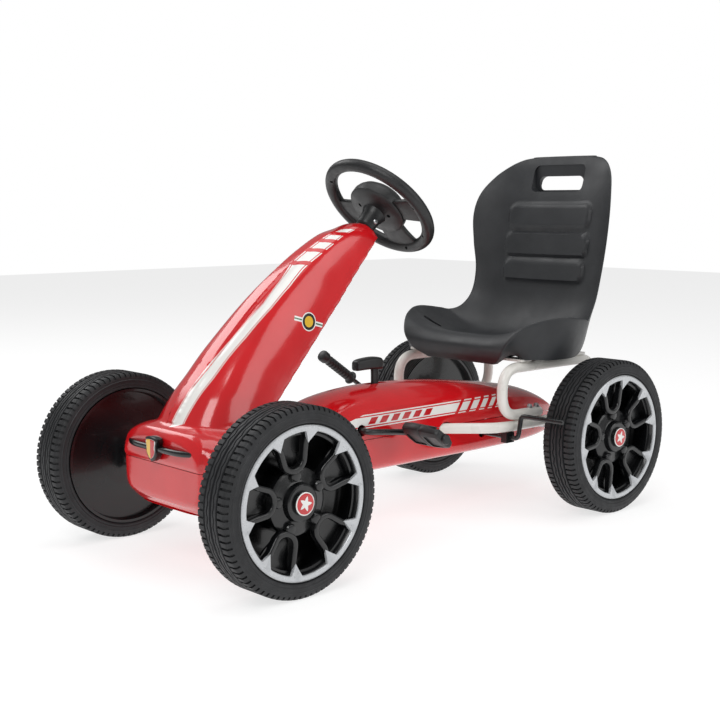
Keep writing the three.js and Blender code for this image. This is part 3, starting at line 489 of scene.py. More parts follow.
def bonnet_finish():
    """Red ABS with the printed stripe on the driver's left of the ridge and a round badge on the flank."""
    made, tree, shader, base = red_fairing_base("red_abs_polished_moulding_bonnet")
    x, y, z = kart_axes(tree)
    dy, dz = maths(tree, "ADD", y, -18), maths(tree, "ADD", z, -524)
    up = maths(tree, "ADD", maths(tree, "MULTIPLY", dy, UP_COLUMN.y),
               maths(tree, "MULTIPLY", dz, UP_COLUMN.z))
    over = maths(tree, "ADD", maths(tree, "MULTIPLY", dy, OVER_COLUMN.y),
                 maths(tree, "MULTIPLY", dz, OVER_COLUMN.z))
    left = along_knots(tree, up, [(s, a) for s, a, _ in STRIPE])
    right = along_knots(tree, up, [(s, b) for s, _, b in STRIPE])
    across = maths(tree, "DIVIDE", maths(tree, "SUBTRACT", x, left), maths(tree, "SUBTRACT", right, left))
    stripe = any_of(tree, *[band(tree, across, a, b) for a, b in ((0, 1), (-0.15, -0.07), (1.07, 1.15))])
    # The ends and the gaps near the top are slanted, so they are measured a little downhill across the stripe.
    slanted = maths(tree, "SUBTRACT", up, maths(tree, "MULTIPLY", across, 9.7))
    runs = any_of(tree, *[band(tree, slanted, a, b) for a, b in
                          ((-519, -201.4), (-191.5, -166), (-156, -138), (-127.6, -114), (-102, -89))])
    front = maths(tree, "GREATER_THAN", over, 22)
    # A plain round badge between two short bars on each flank.
    e1 = maths(tree, "ADD", up, 260)
    e2 = maths(tree, "ADD", over, -13)
    squares = maths(tree, "ADD", maths(tree, "MULTIPLY", e1, e1), maths(tree, "MULTIPLY", e2, e2))
    radius = maths(tree, "SQRT", squares)
    flank = maths(tree, "GREATER_THAN", maths(tree, "ABSOLUTE", x), 30)
    fore = maths(tree, "MULTIPLY_ADD", e2, 0.86, maths(tree, "MULTIPLY", e1, -0.5))
    level = maths(tree, "MULTIPLY_ADD", e2, 0.5, maths(tree, "MULTIPLY", e1, 0.86))
    bars = all_of(tree, flank, band(tree, fore, -29, 29), band(tree, level, -3.5, 3.5))
    bar_line = all_of(tree, bars, band(tree, level, -1.1, 1.1))
    disc = all_of(tree, flank, maths(tree, "LESS_THAN", radius, 14.5))
    inner = all_of(tree, flank, maths(tree, "LESS_THAN", radius, 12.8))
    core = all_of(tree, flank, maths(tree, "LESS_THAN", radius, 8.6))
    painted(tree, shader, base, [
        (all_of(tree, stripe, runs, front), PRINT_WHITE), (bars, PRINT_WHITE), (bar_line, "#2B6B45"),
        (disc, PRINT_WHITE), (inner, "#17181A"), (core, "#E8B92B"),
    ])
    return made


def pod_finish():
    """Red ABS with the printed side band: a row of slanted bars stands where a name would be."""
    made, tree, shader, base = red_fairing_base("red_abs_polished_moulding_pod")
    x, y, z = kart_axes(tree)
    height = maths(tree, "ADD", z, -185)
    slanted = maths(tree, "SUBTRACT", y, maths(tree, "MULTIPLY", height, 0.85))
    side = maths(tree, "GREATER_THAN", maths(tree, "ABSOLUTE", x), 40)
    lean = maths(tree, "MULTIPLY_ADD", y, 0.24, 29)  # the front end tapers down to a point
    under_lean = maths(tree, "LESS_THAN", height, lean)
    long_run = all_of(tree, maths(tree, "LESS_THAN", slanted, 143.5),
                      maths(tree, "GREATER_THAN", y, -128), under_lean)
    dashes = any_of(tree, *[band(tree, slanted, a, b) for a, b in
                            ((151.5, 170.5), (179, 195), (204.5, 217.5), (227, 238), (246.5, 255),
                             (262, 268))])
    field = band(tree, height, -6.8, 7.2)
    lines = any_of(tree, band(tree, height, -10.6, -8.8), band(tree, height, 9.2, 11.2))
    white = all_of(tree, side, any_of(tree, long_run, dashes), any_of(tree, field, lines))
    step = maths(tree, "FLOORED_MODULO", maths(tree, "ADD", slanted, 62), 25.0)
    figures = all_of(tree, side, band(tree, slanted, -62, 88), maths(tree, "LESS_THAN", step, 15.5),
                     band(tree, height, -5.0, 5.5))
    painted(tree, shader, base, [(white, PRINT_WHITE), (figures, "#C4161D")])
    return made


def plain_red():
    return red_fairing_base("red_abs_polished_moulding_plain")[0]


def tyre_rubber():
    # Moulded EVA rubber: near black, dull, with a fine pebbled skin that catches a soft grey light.
    made, tree, shader = finish_of("black_rubber_moulded_tyre", "#1D1E20", 0.6, ior=1.5)
    grained(tree, shader, 0.9, 0.10, 0.50, 0.66)
    shaded(tree, shader, "#232427", "#17181A", 40)
    return made


def gloss_black():
    # Polypropylene, injection moulded and polished: black with clear soft-edged reflections.
    made, tree, shader = finish_of("black_polypropylene_polished_moulding", "#101113", 0.24, coat=0.25,
                                   ior=1.49)
    grained(tree, shader, 6, 0.05, 0.18, 0.30)
    shaded(tree, shader, "#141517", "#0C0D0E", 70)
    return made


def satin_black():
    # ABS with a spark-eroded texture: black going grey in the light, no sharp reflections.
    made, tree, shader = finish_of("black_abs_textured_moulding", "#17181A", 0.42, ior=1.52)
    grained(tree, shader, 0.8, 0.05, 0.36, 0.48)
    shaded(tree, shader, "#1B1C1E", "#131415", 50)
    return made


def black_enamel():
    # Steel rod under black stove enamel: smooth, slightly orange-peeled, with a clear highlight.
    made, tree, shader = finish_of("steel_black_stove_enamel", "#131416", 0.3, coat=0.3)
    grained(tree, shader, 2.5, 0.03, 0.24, 0.36)
    shaded(tree, shader, "#17181A", "#0E0F10", 45)
    return made


def white_enamel():
    # Steel tube under off-white powder coat: warm white, half gloss, with the coat's fine orange peel.
    made, tree, shader = finish_of("steel_white_powder_coat", "#E9E7E1", 0.3, coat=0.35)
    grained(tree, shader, 2.2, 0.035, 0.24, 0.34)
    shaded(tree, shader, "#ECEAE5", "#E2DFD8", 60)
    return made


def zinc():
    # Zinc plated steel: pale grey metal, faintly streaked and cloudy from the bath.
    made, tree, shader = finish_of("steel_zinc_plated", "#BFC1C3", 0.34, metal=1.0)
    grained(tree, shader, 1.5, 0.02, 0.26, 0.42)
    shaded(tree, shader, "#C9CACC", "#A9ABAE", 12)
    return made


def silver_paint():
    # Metallic silver lacquer on moulded plastic: light grey with a fine flake sparkle and a clear coat.
    made, tree, shader = finish_of("silver_lacquer_on_polypropylene", "#C3C5C8", 0.3, metal=0.3, coat=0.4)
    grained(tree, shader, 0.7, 0.02, 0.26, 0.36)
    shaded(tree, shader, "#C8CACD", "#BDC0C3", 3)
    return made


def seat_plastic():
    # High-density polyethylene, rotation moulded: charcoal, waxy, with a leathery grain of about 1.5 mm.
    made, tree, shader = finish_of("charcoal_polyethylene_grained_moulding", "#242629", 0.5, ior=1.54)
    cells = node(tree, "TexVoronoi", [("Vector", places(tree))], Scale=1 / (1.6 * MM))
    fine = noise(tree, 0.9, 4.0)
    both = maths(tree, "MULTIPLY_ADD", cells.outputs["Distance"], 0.6, fine.outputs["Fac"])
    bump = node(tree, "Bump", [("Height", both)], Strength=1.0, Distance=0.10 * MM)
    tree.links.new(bump.outputs["Normal"], shader.inputs["Normal"])
    patch = noise(tree, 30, 3.0)
    rough = node(tree, "MapRange", [("Value", patch.outputs["Fac"])], From_Min=0.3, From_Max=0.7,
                 To_Min=0.42, To_Max=0.54)
    tree.links.new(rough.outputs["Result"], shader.inputs["Roughness"])
    shaded(tree, shader, "#282A2D", "#1F2124", 45)
    return made


def nylon():
    # Nylon 6, moulded: milky off-white, waxy, slightly see-through at its edges.
    made, tree, shader = finish_of("nylon_natural_moulding", "#D9D7CF", 0.45, ior=1.53)
    shader.inputs["Subsurface Weight"].default_value = 0.15
    shader.inputs["Subsurface Scale"].default_value = 2 * MM
    grained(tree, shader, 1.2, 0.02, 0.4, 0.5)
    shaded(tree, shader, "#DCDAD2", "#CFCCC2", 10)
    return made


def badge_print(name, tint, other):
    # Printed vinyl under a clear dome: flat bright colour behind a wet-looking skin.
    made, tree, shader = finish_of(name, tint, 0.2, coat=0.8)
    grained(tree, shader, 5, 0.02, 0.16, 0.24)
    shaded(tree, shader, tint, other, 14)
    return made


FINISHES = {}


def finish(name):
    """Each material is made once, when it is first asked for."""
    if name not in FINISHES:
        FINISHES[name] = {
            "bonnet": bonnet_finish, "pod": pod_finish, "red": plain_red, "rubber": tyre_rubber,
            "gloss_black": gloss_black, "satin_black": satin_black, "black_enamel": black_enamel,
            "white": white_enamel, "zinc": zinc, "silver": silver_paint, "seat": seat_plastic, "nylon": nylon,
            "badge_red": lambda: badge_print("vinyl_print_red_domed", "#C8141B", "#BA1017"),
            "badge_white": lambda: badge_print("vinyl_print_white_domed", "#EDEDEA", "#E3E3DF"),
            "badge_yellow": lambda: badge_print("vinyl_print_yellow_domed", "#E8B92B", "#DDAD22"),
        }[name]()
    return FINISHES[name]


# ---------------------------------------------------------------- wheels
TYRE_PROFILE = (
    (30, 107.5), (33, 109), (34, 111), (33.2, 113.2), (33.9, 115), (33.2, 116.8), (33.4, 121), (32.4, 122),
    (31.6, 126),
    (29.6, 129.6), (27.6, 131.4), (25, 132), (15.4, 132), (14.4, 129.2), (12.6, 129.2), (11.6, 132), (8, 132),
    (7.2, 129.6), (6.2, 129.6), (5.4, 132), (2.4, 132), (1.6, 129.6),
)


def tyre(settings):
    """One tyre: its profile spun round the axle, then slots sunk across both shoulders."""
    centre = middle("tyre_front_left")
    half = list(TYRE_PROFILE)
    profile = half + [(-x, r) for x, r in reversed(half)]
    nothing_selected()
    bpy.ops.mesh.primitive_circle_add(vertices=len(profile), radius=0.01, fill_type="NOTHING")
    obj = bpy.context.object
    obj.name = "tyre"
    for vertex, (x, r) in zip(obj.data.vertices, profile):
        vertex.co = centre + Vector((x * MM, 0, r * MM))
    steps = settings.tread_steps

    def spin():
        bpy.ops.mesh.spin(steps=steps, angle=2 * math.pi, center=centre, axis=(1, 0, 0))
        bpy.ops.mesh.select_all(action="SELECT")
        tidy_mesh()

    edit(obj, spin)
    # The two grooves beside the centre rib wander from side to side as they go round.
    for vertex in obj.data.vertices:
        x = (vertex.co.x - centre.x) / MM
        angle = math.atan2(vertex.co.z - centre.z, vertex.co.y - centre.y)
        if 4.5 < abs(x) < 9 and (vertex.co - centre).length > 0.126:
            vertex.co.x += 1.1 * MM * math.sin(angle * steps / 6)
    for sign in (1, -1):
        shift = 0 if sign > 0 else 1

        def slot(point, normal):
            x = (point.x - centre.x) / MM * sign
            radius = math.hypot(point.y - centre.y, point.z - centre.z) / MM
            if radius < 126.5 or not 15.4 < x < 32:
                return False
            turn = math.atan2(point.z - centre.z, point.y - centre.y) / (2 * math.pi) * steps
            return math.floor(turn + 0.001) % 3 == shift

        select_faces(obj, slot)
        bpy.ops.object.mode_set(mode="EDIT")
        bpy.ops.mesh.select_mode(type="FACE")
        bpy.ops.mesh.extrude_region_shrink_fatten(TRANSFORM_OT_shrink_fatten={"value": -2.4 * MM})
        bpy.ops.mesh.select_mode(type="VERT")
        bpy.ops.object.mode_set(mode="OBJECT")
    return obj


LOBE_TURN = 28  # degrees from rearward to the first loop
LOBES = 5


def round_axle(centre, radius, degrees, x):
    """A point in a wheel: angle from rearward towards up."""
    a = math.radians(degrees)
    return centre + Vector((x * MM, radius * math.cos(a) * MM, radius * math.sin(a) * MM))


def rim():
    """The black wheel: stepped barrel, hub, five U-shaped loops with sunk pans, and five lug bolts."""
    centre = middle("tyre_front_left")
    axle = Vector((1, 0, 0))
    barrel = turned("barrel", [
        (-33.5, 107.2), (-33.5, 103), (-28, 101.5), (-10, 100.5), (8, 98.5), (8.6, 96.4), (16, 95.6),
        (16.6, 93.4),
        (23, 92.6), (23.6, 95.6), (29.5, 97), (31.2, 98.5), (31.2, 107.2), (20, 107.6), (-20, 107.6),
    ], centre, axle, steps=120, closed=True)
    parts = [barrel]
    parts.append(turned("hub", [
        (-26, 0), (-26, 15), (-22, 47), (-12, 47), (-4, 45), (5, 45), (9, 48), (15.5, 47), (17.5, 43),
        (17.8, 30),
        (19, 27.5), (27, 25.5),
        (28.4, 23.5), (28.4, 0),
    ], centre, axle, steps=96))
    # A stepped flange inside the barrel closes the wheel behind the loops.
    parts.append(turned("flange", [
        (-10, 100.6), (-12, 92), (-12.6, 91), (-16, 80), (-16.6, 79), (-18, 68), (-19, 46), (-22, 46),
        (-22, 100.8),
    ], centre, axle, steps=96, closed=True))
    # Each loop stands in front of a sunk pan between hub and barrel.
    for k in range(LOBES):
        middle_turn = LOBE_TURN + 72 * k
        legs = [round_axle(centre, 98, middle_turn - 17, 21.5),
                round_axle(centre, 80, middle_turn - 15.5, 21.5)]
        base = []
        for t in range(13):
            a = math.radians(-90 - 75 + 150 * t / 12)
            out, aside = 62 + 17 * math.sin(a), 18 * math.cos(a)
            turn = middle_turn + math.degrees(math.atan2(aside, out))
            base.append(round_axle(centre, math.hypot(out, aside), turn, 19.5))
        ends = [round_axle(centre, 80, middle_turn + 15.5, 21.5),
                round_axle(centre, 98, middle_turn + 17, 21.5)]
        parts.append(sweep(f"loop{k}", legs + base + ends, rounded_block(8.6, 12, 2.6, 3), up=axle))

        def pan_point(i, j, turn=middle_turn):
            out = 44 + 54 * j / 10
            across = i / 8 * 2 - 1
            spread = 17.5 if out > 78 else 17.5 * (0.55 + 0.45 * (out - 44) / 34)
            degrees = turn + across * spread * (1.0 if out > 60 else 1.12)
            sink = 8.5 - 2.5 * math.cos(across * math.pi / 2) + (out - 44) * 0.06
            return round_axle(centre, out, degrees, sink)

        pan = sheet_of(f"pan{k}", 9, 11, pan_point)
        parts.append(modified(pan, "SOLIDIFY", thickness=3 * MM, offset=0))
        parts.append(turned(f"bolt{k}", [
            (14, 0), (14, 8.2), (22.4, 8), (24.4, 6.6), (25, 5), (25, 0),
        ], round_axle(centre, 38, middle_turn, 0), axle, steps=24))
    return join("rim", *parts)


def silver_ring():
    """The silver trim ring with ten teeth that run in onto the loops."""
    centre = middle("tyre_front_left")
    steps = 360

    def inner(degrees):
        reach = 98.0
        for k in range(LOBES):
            for leg in (-17, 17):
                off = (degrees - (LOBE_TURN + 72 * k + leg) + 180) % 360 - 180
                half = 5.6
                if abs(off) < half:
                    reach = min(reach, 98 - 17 * (1 - abs(off) / half) ** 0.9)
        return reach

    profile = ((29.4, 106.6), (32.2, 106.2), (33.4, 104.4), (33.5, None), (32.4, None), (29.4, None))

    def place(i, j):
        along, radius = profile[i % 6]
        degrees = 360 * (j % steps) / steps
        if radius is None:
            radius = inner(degrees) + (0.9 if i % 6 == 3 else 0)
            along -= max(0.0, 98 - radius) * 0.34
        return round_axle(centre, radius, degrees, along)

    return sheet_of("ring", 7, steps + 1, place)


def hub_badge():
    """A low dome with a white border and a plain five-pointed star; faces carry the colours."""
    centre = middle("tyre_front_left")
    steps = 60

    def star(degrees):
        off = abs((degrees + 36) % 72 - 36)
        return 4.8 + 6.0 * (1 - off / 36) ** 1.4

    def place(i, j):
        degrees = 90 + 360 * (j % steps) / steps
        rings = ((33.9, 0), (33.8, star(degrees)), (33.6, 12.4), (33.3, 14.4), (32.8, 16), (32.2, 16.9),
                 (28, 17.1))
        along, radius = rings[i]
        return round_axle(centre, radius, degrees, along)

    return sheet_of("badge", 7, steps + 1, place)


def colour_badge(obj, centre):
    obj.data.materials.clear()
    obj.data.materials.append(finish("badge_red"))
    obj.data.materials.append(finish("badge_white"))
    obj.data.materials.append(finish("gloss_black"))
    for face in obj.data.polygons:
        radius = math.hypot(face.center.y - centre.y, face.center.z - centre.z) / MM
        outer = max(math.hypot(obj.data.vertices[v].co.y - centre.y, obj.data.vertices[v].co.z - centre.z)
                    for v in face.vertices) / MM
        inside_star = outer < 11 and radius < 7.4
        face.material_index = 1 if inside_star or 14.6 < outer < 16.2 else 2 if radius > 16.2 else 0


class KART_OT_wheels(bpy.types.Operator):
    """Four tyres with black wheels, silver trim rings and hub badges"""

    bl_idname = "kart.wheels"
    bl_label = "Wheels"

    def execute(self, context):
        home = middle("tyre_front_left")
        made = {"tyre": tyre(context.scene.kart_sizes), "rim": rim(), "ring": silver_ring(),
                "badge": hub_badge()}
        looks = {"tyre": ("tyre", "rubber"), "rim": ("wheel_black", "gloss_black"),
                 "ring": ("wheel_black", "silver"),
                 "badge": ("badge_red", None)}
        stands = {"tyre": "tyre", "rim": "rim", "badge": "hub_cap"}
        for end, side, sign in WHEELS:
            centre = middle(f"tyre_{end}_{side}")
            body = f"front_wheel_{side}" if end == "front" else "rear_wheels"
            turn = Matrix.Rotation(0 if sign > 0 else math.pi, 4, "Z")
            place = Matrix.Translation(centre) @ turn @ Matrix.Translation(-home)
            for kind, obj in made.items():
                twin = copied(obj, f"{kind}_{end}_{side}_piece", place)
                slot, look = looks[kind]
                if kind == "badge":
                    colour_badge(twin, centre)
                nodes = (f"{stands[kind]}_{end}_{side}",) if kind in stands else ()
                piece(twin, twin.name, body, finish(look) if look else None, nodes)
        for obj in made.values():
            bpy.data.objects.remove(obj)
        return {"FINISHED"}


# ---------------------------------------------------------------- fairings
SEAM = 156  # height of the joint between upper and lower shells
SPLIT = -206  # where the nose shells meet the pod shells
# y, half width, bottom, top
HULL = (
    (-414, 93, 102, 196), (-410, 104, 94, 203), (-404, 110, 90, 208), (-390, 116, 86, 213),
    (-368, 121, 84, 213),
    (-334, 121, 86, 210), (-290, 109, 90, 202), (-245, 87, 94, 196), (-206, 73, 96, 197), (-165, 66, 97, 207),
    (-110, 65, 97, 224), (-47, 65, 97, 232), (30, 65, 97, 233), (120, 65, 97, 228), (210, 65, 97, 218),
    (290, 64, 98, 207), (350, 59, 100, 195), (400, 48, 104, 176), (438, 32, 110, 152), (460, 10, 122, 136),
)
# distance up the column, half width, front height over the column, squareness of the section
TOWER = (
    (-585, 88, 18, 0.74), (-572, 87, 26, 0.74), (-545, 85, 48, 0.74), (-513, 82, 68, 0.74),
    (-465, 77, 79, 0.70),
    (-430, 71, 81, 0.66),
    (-391, 65, 84, 0.62), (-345, 60, 84.5, 0.6), (-299, 55, 84, 0.6), (-250, 50, 80.5, 0.6),
    (-199, 44, 73.5, 0.6),
    (-160, 38, 65, 0.6), (-120, 33, 53, 0.6), (-91, 30, 40, 0.6), (-66, 27, 27, 0.6), (-52, 25, 15, 0.6),
)
TOWER_BACK = -18


def nose_solid(inset=0, first=-414, last=-150):
    """The low nose as a closed loft."""
    rows, around = 34, 72

    def place(i, j):
        y = first + inset + (last - first - inset) * j / (rows - 1)
        _, w, zb, zt = row_at(HULL, y)
        waist = min(SEAM, (zb + zt) / 2 + 8)
        a = 2 * math.pi * (i % around) / around
        up = math.sin(a) > 0
        tall = (zt - waist if up else waist - zb) - inset
        square = 0.42 + (0.30 * step_up(-y, 300, 120) if up else 0)
        return at((w - inset) * power(math.cos(a), square), y, waist + tall * power(math.sin(a), square))

    return sheet_of("nose", around + 1, rows, place, close_ends)


def tower_solid(inset=0):
    """The tall cowl over the steering column as a closed loft; an inset one runs out through the back."""
    rows, around = 60, 48
    top = -52 - inset
    back = TOWER_BACK - (25 if inset else 0)

    def place(i, j):
        s = -585 + (top + 585) * j / (rows - 1)
        _, w, front, square = row_at(TOWER, s)
        k = i % (around + 8)
        if k > around:
            return on_column((w - inset) * (2 * (k - around) / 8 - 1), s, back)
        a = math.pi * k / around
        return on_column((w - inset) * power(math.cos(a), square), s,
                         back + (front - inset - back) * max(math.sin(a), 0) ** square)

    return sheet_of("tower", around + 9, rows, place, close_ends)


def blended(name, voxel, rounds, *solids):
    """Joins overlapping solids into one smooth skin."""
    obj = join(name, *solids)
    modified(obj, "REMESH", mode="VOXEL", voxel_size=voxel * MM, adaptivity=0)
    return modified(obj, "SMOOTH", factor=0.5, iterations=rounds)


def step_up(value, edge, width):
    """0 to 1 over a soft edge."""
    t = max(0.0, min(1.0, (value - edge) / width + 0.5))
    return t * t * (3 - 2 * t)


def relief(obj):
    """Raises the centre ridge of the cowl and the flat front panel of the nose."""
    for vertex in obj.data.vertices:
        p = vertex.co
        x, y, z = p.x / MM, (p.y - MID_Y) / MM, p.z / MM
        from_wheel = p - WHEEL_HEIGHT
        s, over = from_wheel.dot(UP_COLUMN) / MM, from_wheel.dot(OVER_COLUMN) / MM
        width = 13 if s > -500 else 10
        if z > 214 and over > 20:
            high = step_up(width - abs(x), 0, 3.2) * step_up(s, -524, 8) * (1 - step_up(s, -100, 40))
            vertex.co = p + OVER_COLUMN * 3.6 * high * MM
        if y < -370 and z > 90:
            wide = step_up(98 - abs(x) - max(0, (z - 188)) * 0.5, 0, 5)
            tall = step_up(z, 160, 3) * (1 - step_up(z, 207, 4))
            vertex.co.y -= 3.0 * wide * tall * step_up(-y, 394, 10) * MM
            vertex.co.y += 4.5 * step_up(-y, 385, 14) * MM * max(0.0, min(1.0, (110 - z) / 12))
    obj.data.update()


class KART_OT_fairings(bpy.types.Operator):
    """The red shells: bonnet with its cowl, chin, and the long pod in two halves"""

    bl_idname = "kart.fairings"
    bl_label = "Fairings"

    def execute(self, context):
        wall = context.scene.kart_sizes.shell_wall
        outer = blended("outer", 3.0, 3, nose_solid(), tower_solid())
        relief(outer)
        chin = copied(outer, "chin_piece", Matrix.Identity(4))
        inner = blended("inner", 5.0, 3, nose_solid(wall), tower_solid(wall))
        nothing_selected()
        bpy.ops.mesh.primitive_cube_add(size=1, location=at(0, SPLIT + 200, 40), scale=(0.6, 0.4, 0.4))
        room = bpy.context.object
        # The print lies on the outside only: faces cut by these tools bring the plain red with them.
        for obj, looks in ((outer, ("bonnet", "red")), (inner, ("red",)), (room, ("red",))):
            for look in looks:
                obj.data.materials.append(finish(look))
        carved(outer, inner)
        carved(outer, room)
        cut(outer, at(0, 0, SEAM + 0.5), (0, 0, -1), fill=True)
        piece(outer, "bonnet_piece", "chassis", None, ("bonnet_shell",), 40)
        cut(chin, at(0, 0, SEAM - 0.5), (0, 0, 1), fill=True)
        cut(chin, at(0, SPLIT, 0), (0, 1, 0), fill=True)
        nothing_selected()
        bpy.ops.mesh.primitive_cube_add(size=1, location=at(0, -318, 150), scale=(0.6, 0.030, 0.026))
        carved(chin, bpy.context.object)
        piece(chin, "chin_piece", "chassis", finish("red"), ("chin_shell",), 40)
        for name, high in (("pod_upper", True), ("pod_lower", False)):
            self.pod(name, high, wall)
        return {"FINISHED"}

    def pod(self, name, high, wall):
        """One half of the pod: a shell with a shoulder line on the upper half, and its holes."""
        rows, half = 84, 26
        crease = 10

        def place(i, j):
            y = SPLIT + 0.6 + (459.5 - SPLIT - 0.6) * (j / (rows - 1)) ** 0.97
            _, w, zb, zt = row_at(HULL, y)
            waist = min(SEAM, (zb + zt) / 2 + 8)
            sign = 1 if i <= half else -1
            k = i if i <= half else 2 * half - i
            if not high:
                a = math.pi / 2 * k / half
                low = waist - 0.5 - (waist - 0.5 - zb) * math.sin(a) ** 0.42
                return at(sign * w * power(math.cos(a), 0.42), y, low)
            tall = zt - waist - 0.5
            if k <= crease:
                t = k / crease
                return at(sign * w * (1 - 0.055 * t * t), y, waist + 0.5 + tall * 0.60 * t)
            low = math.radians(26)
            a = low + (math.pi / 2 - low) * (k - crease) / (half - crease)
            return at(sign * w * 0.945 * math.cos(a) / math.cos(low), y,
                      waist + 0.5 + tall * (0.60 + 0.40 * (math.sin(a) - math.sin(low)) / (1 - math.sin(low))))

        obj = sheet_of(name, 2 * half + 1, rows, place)
        # On an open sheet the outside is found from the place of each face: away from the middle line.
        flip = sum(f.normal.z * (1 if high else -1) for f in obj.data.polygons) < 0
        if flip:
            edit(obj, lambda: bpy.ops.mesh.flip_normals())
        modified(obj, "SOLIDIFY", thickness=wall * MM, offset=-1)
        holes = [(204, 134, 9), (351, 132, 10)] if not high else [(-80, 172, 9.5)]
        for y, z, radius in holes:
            nothing_selected()
            bpy.ops.mesh.primitive_cylinder_add(vertices=32, radius=radius * MM, depth=0.6,
                                                location=at(0, y, z),
                                                rotation=(0, math.pi / 2, 0))
            carved(obj, bpy.context.object)
        for _, sign in SIDES:
            tool = sweep("rail_room", rail_path(sign), circle(11.2, 24))
            carved(obj, tool)
        if high:
            nothing_selected()
            bpy.ops.mesh.primitive_cube_add(size=1, location=at(0, 8, 220), scale=(0.013, 0.046, 0.08))
            carved(obj, bevelled(bpy.context.object, 4, segments=4))
        piece(obj, f"{name}_piece", "chassis", finish("pod" if high else "red"),
              (f"{name}_shell",), 22)


# ---------------------------------------------------------------- frame tubes
RAIL_X, RAIL_Z, TUBE_R = 125, 152, 9


def rail_path(sign):
    return rounded([at(sign * 20, 62, RAIL_Z), at(sign * RAIL_X, 181, RAIL_Z),
                    at(sign * RAIL_X, 444, RAIL_Z)], 34, 12)


def tube_end(obj):
    return bevelled(obj, 1.2, angle=50, segments=3)


class KART_OT_tubes(bpy.types.Operator):
    """The white side rails and seat loops with their bolts, and the finish of the other frame parts"""

    bl_idname = "kart.tubes"
    bl_label = "Frame tubes"

    def execute(self, context):
        for side, sign in SIDES:
            rail = tube_end(sweep(f"rail_{side}", rail_path(sign), circle(TUBE_R, 32)))
            piece(rail, f"frame_rail_{side}_piece", "chassis", finish("white"),
                  (f"frame_rail_{side}",))
            corners = [at(sign * RAIL_X, y, z) for y, z in
                       ((284, 170.35), (186, 170.35), (186, 252), (432, 252), (432, 170.35), (376, 170.35))]
            loop = tube_end(sweep(f"loop_{side}", rounded(corners, 40, 14), circle(TUBE_R, 32),
                                  up=Vector((1, 0, 0))))
            piece(loop, f"seat_loop_{side}_piece", "chassis", finish("white"),
                  (f"seat_loop_{side}",))
            bolts = []
            for y in (258, 276, 384, 402):
                bolts.append(turned(f"bolt{y}",
                                    [(8.6, 0), (8.6, 4.8), (12, 4.8), (12.4, 4.4), (14.6, 3), (15.4, 0)],
                                    at(sign * RAIL_X, y, 170.35), Vector((0, 0, 1)), steps=6 * 4))
            piece(join("bolts", *bolts), f"loop_bolts_{side}", "chassis", finish("zinc"))
        for name in ("backbone_tube", "rail_junction_plate", "axle_bracket_left", "axle_bracket_right",
                     "seat_strap_front", "seat_strap_rear"):
            dress(name, "white")
        return {"FINISHED"}


def dress(name, look):
    """Gives a CAD node that keeps its shape its finish."""
    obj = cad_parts[name]
    obj.data.materials.clear()
    obj.data.materials.append(finish(look))


# ---------------------------------------------------------------- nose bar
class KART_OT_nose_trim(bpy.types.Operator):
    """The black bar across the nose and the plain shield on it"""

    bl_idname = "kart.nose_trim"
    bl_label = "Nose trim"

    def execute(self, context):
        y, z = -423.5, 181
        path = rounded([at(-84.5, y + 13, z), at(-58, y, z), at(58, y, z), at(84.5, y + 13, z)], 20, 8)
        bar = sweep("bar", path, rounded_block(10.5, 9, 4, 5),
                    scale=lambda t: 0.72 + 0.28 * math.sin(math.pi * t) ** 0.35)
        bar = bevelled(bar, 2.4, angle=50, segments=3)
        piece(bar, "nose_bar_piece", "chassis", finish("gloss_black"), ("nose_bar",))

        # The outline of the shield from its point round.
        right = [(0, -21), (7, -17), (12.5, -10), (14.6, -2), (14.4, 6), (16.4, 11), (15.6, 17), (8, 18.6),
                 (0, 19.4)]
        outline = right + [(-a, b) for a, b in reversed(right[1:-1])]

        def plate(name, size, depths):
            def place(i, j):
                depth, shrink = depths[j]
                a, b = outline[i % len(outline)]
                return at(a * size * shrink, y - depth, z + b * size * shrink)

            return sheet_of(name, len(outline) + 1, len(depths), place, close_ends)

        back = plate("back", 0.92, ((-4, 1), (5, 1), (6.6, 0.95), (7.2, 0.86)))
        piece(bevelled(back, 0.6, angle=50), "nose_badge_frame", "chassis",
              finish("gloss_black"),
              ("nose_badge",))
        face = plate("face", 0.72, ((6.4, 1), (7.9, 0.98), (8.2, 0.9), (8.2, 0.6), (8.3, 0.02)))
        piece(face, "nose_badge_face", "chassis", None)
        for look in ("badge_white", "badge_red", "badge_yellow"):
            face.data.materials.append(finish(look))
        for f in face.data.polygons:
            rim_face = f.normal.y > -0.8 or abs(f.center.x) / MM > 9.2
            f.material_index = 0 if rim_face else 1 if f.center.x > 0 else 2
        return {"FINISHED"}


# ---------------------------------------------------------------- steering
def steer_at(degrees, radius, lift):
    """A point on the steering wheel: angle from the driver's left, radius, height towards the driver."""
    a = math.radians(degrees)
    return on_column(radius * math.cos(a), lift, -radius * math.sin(a))


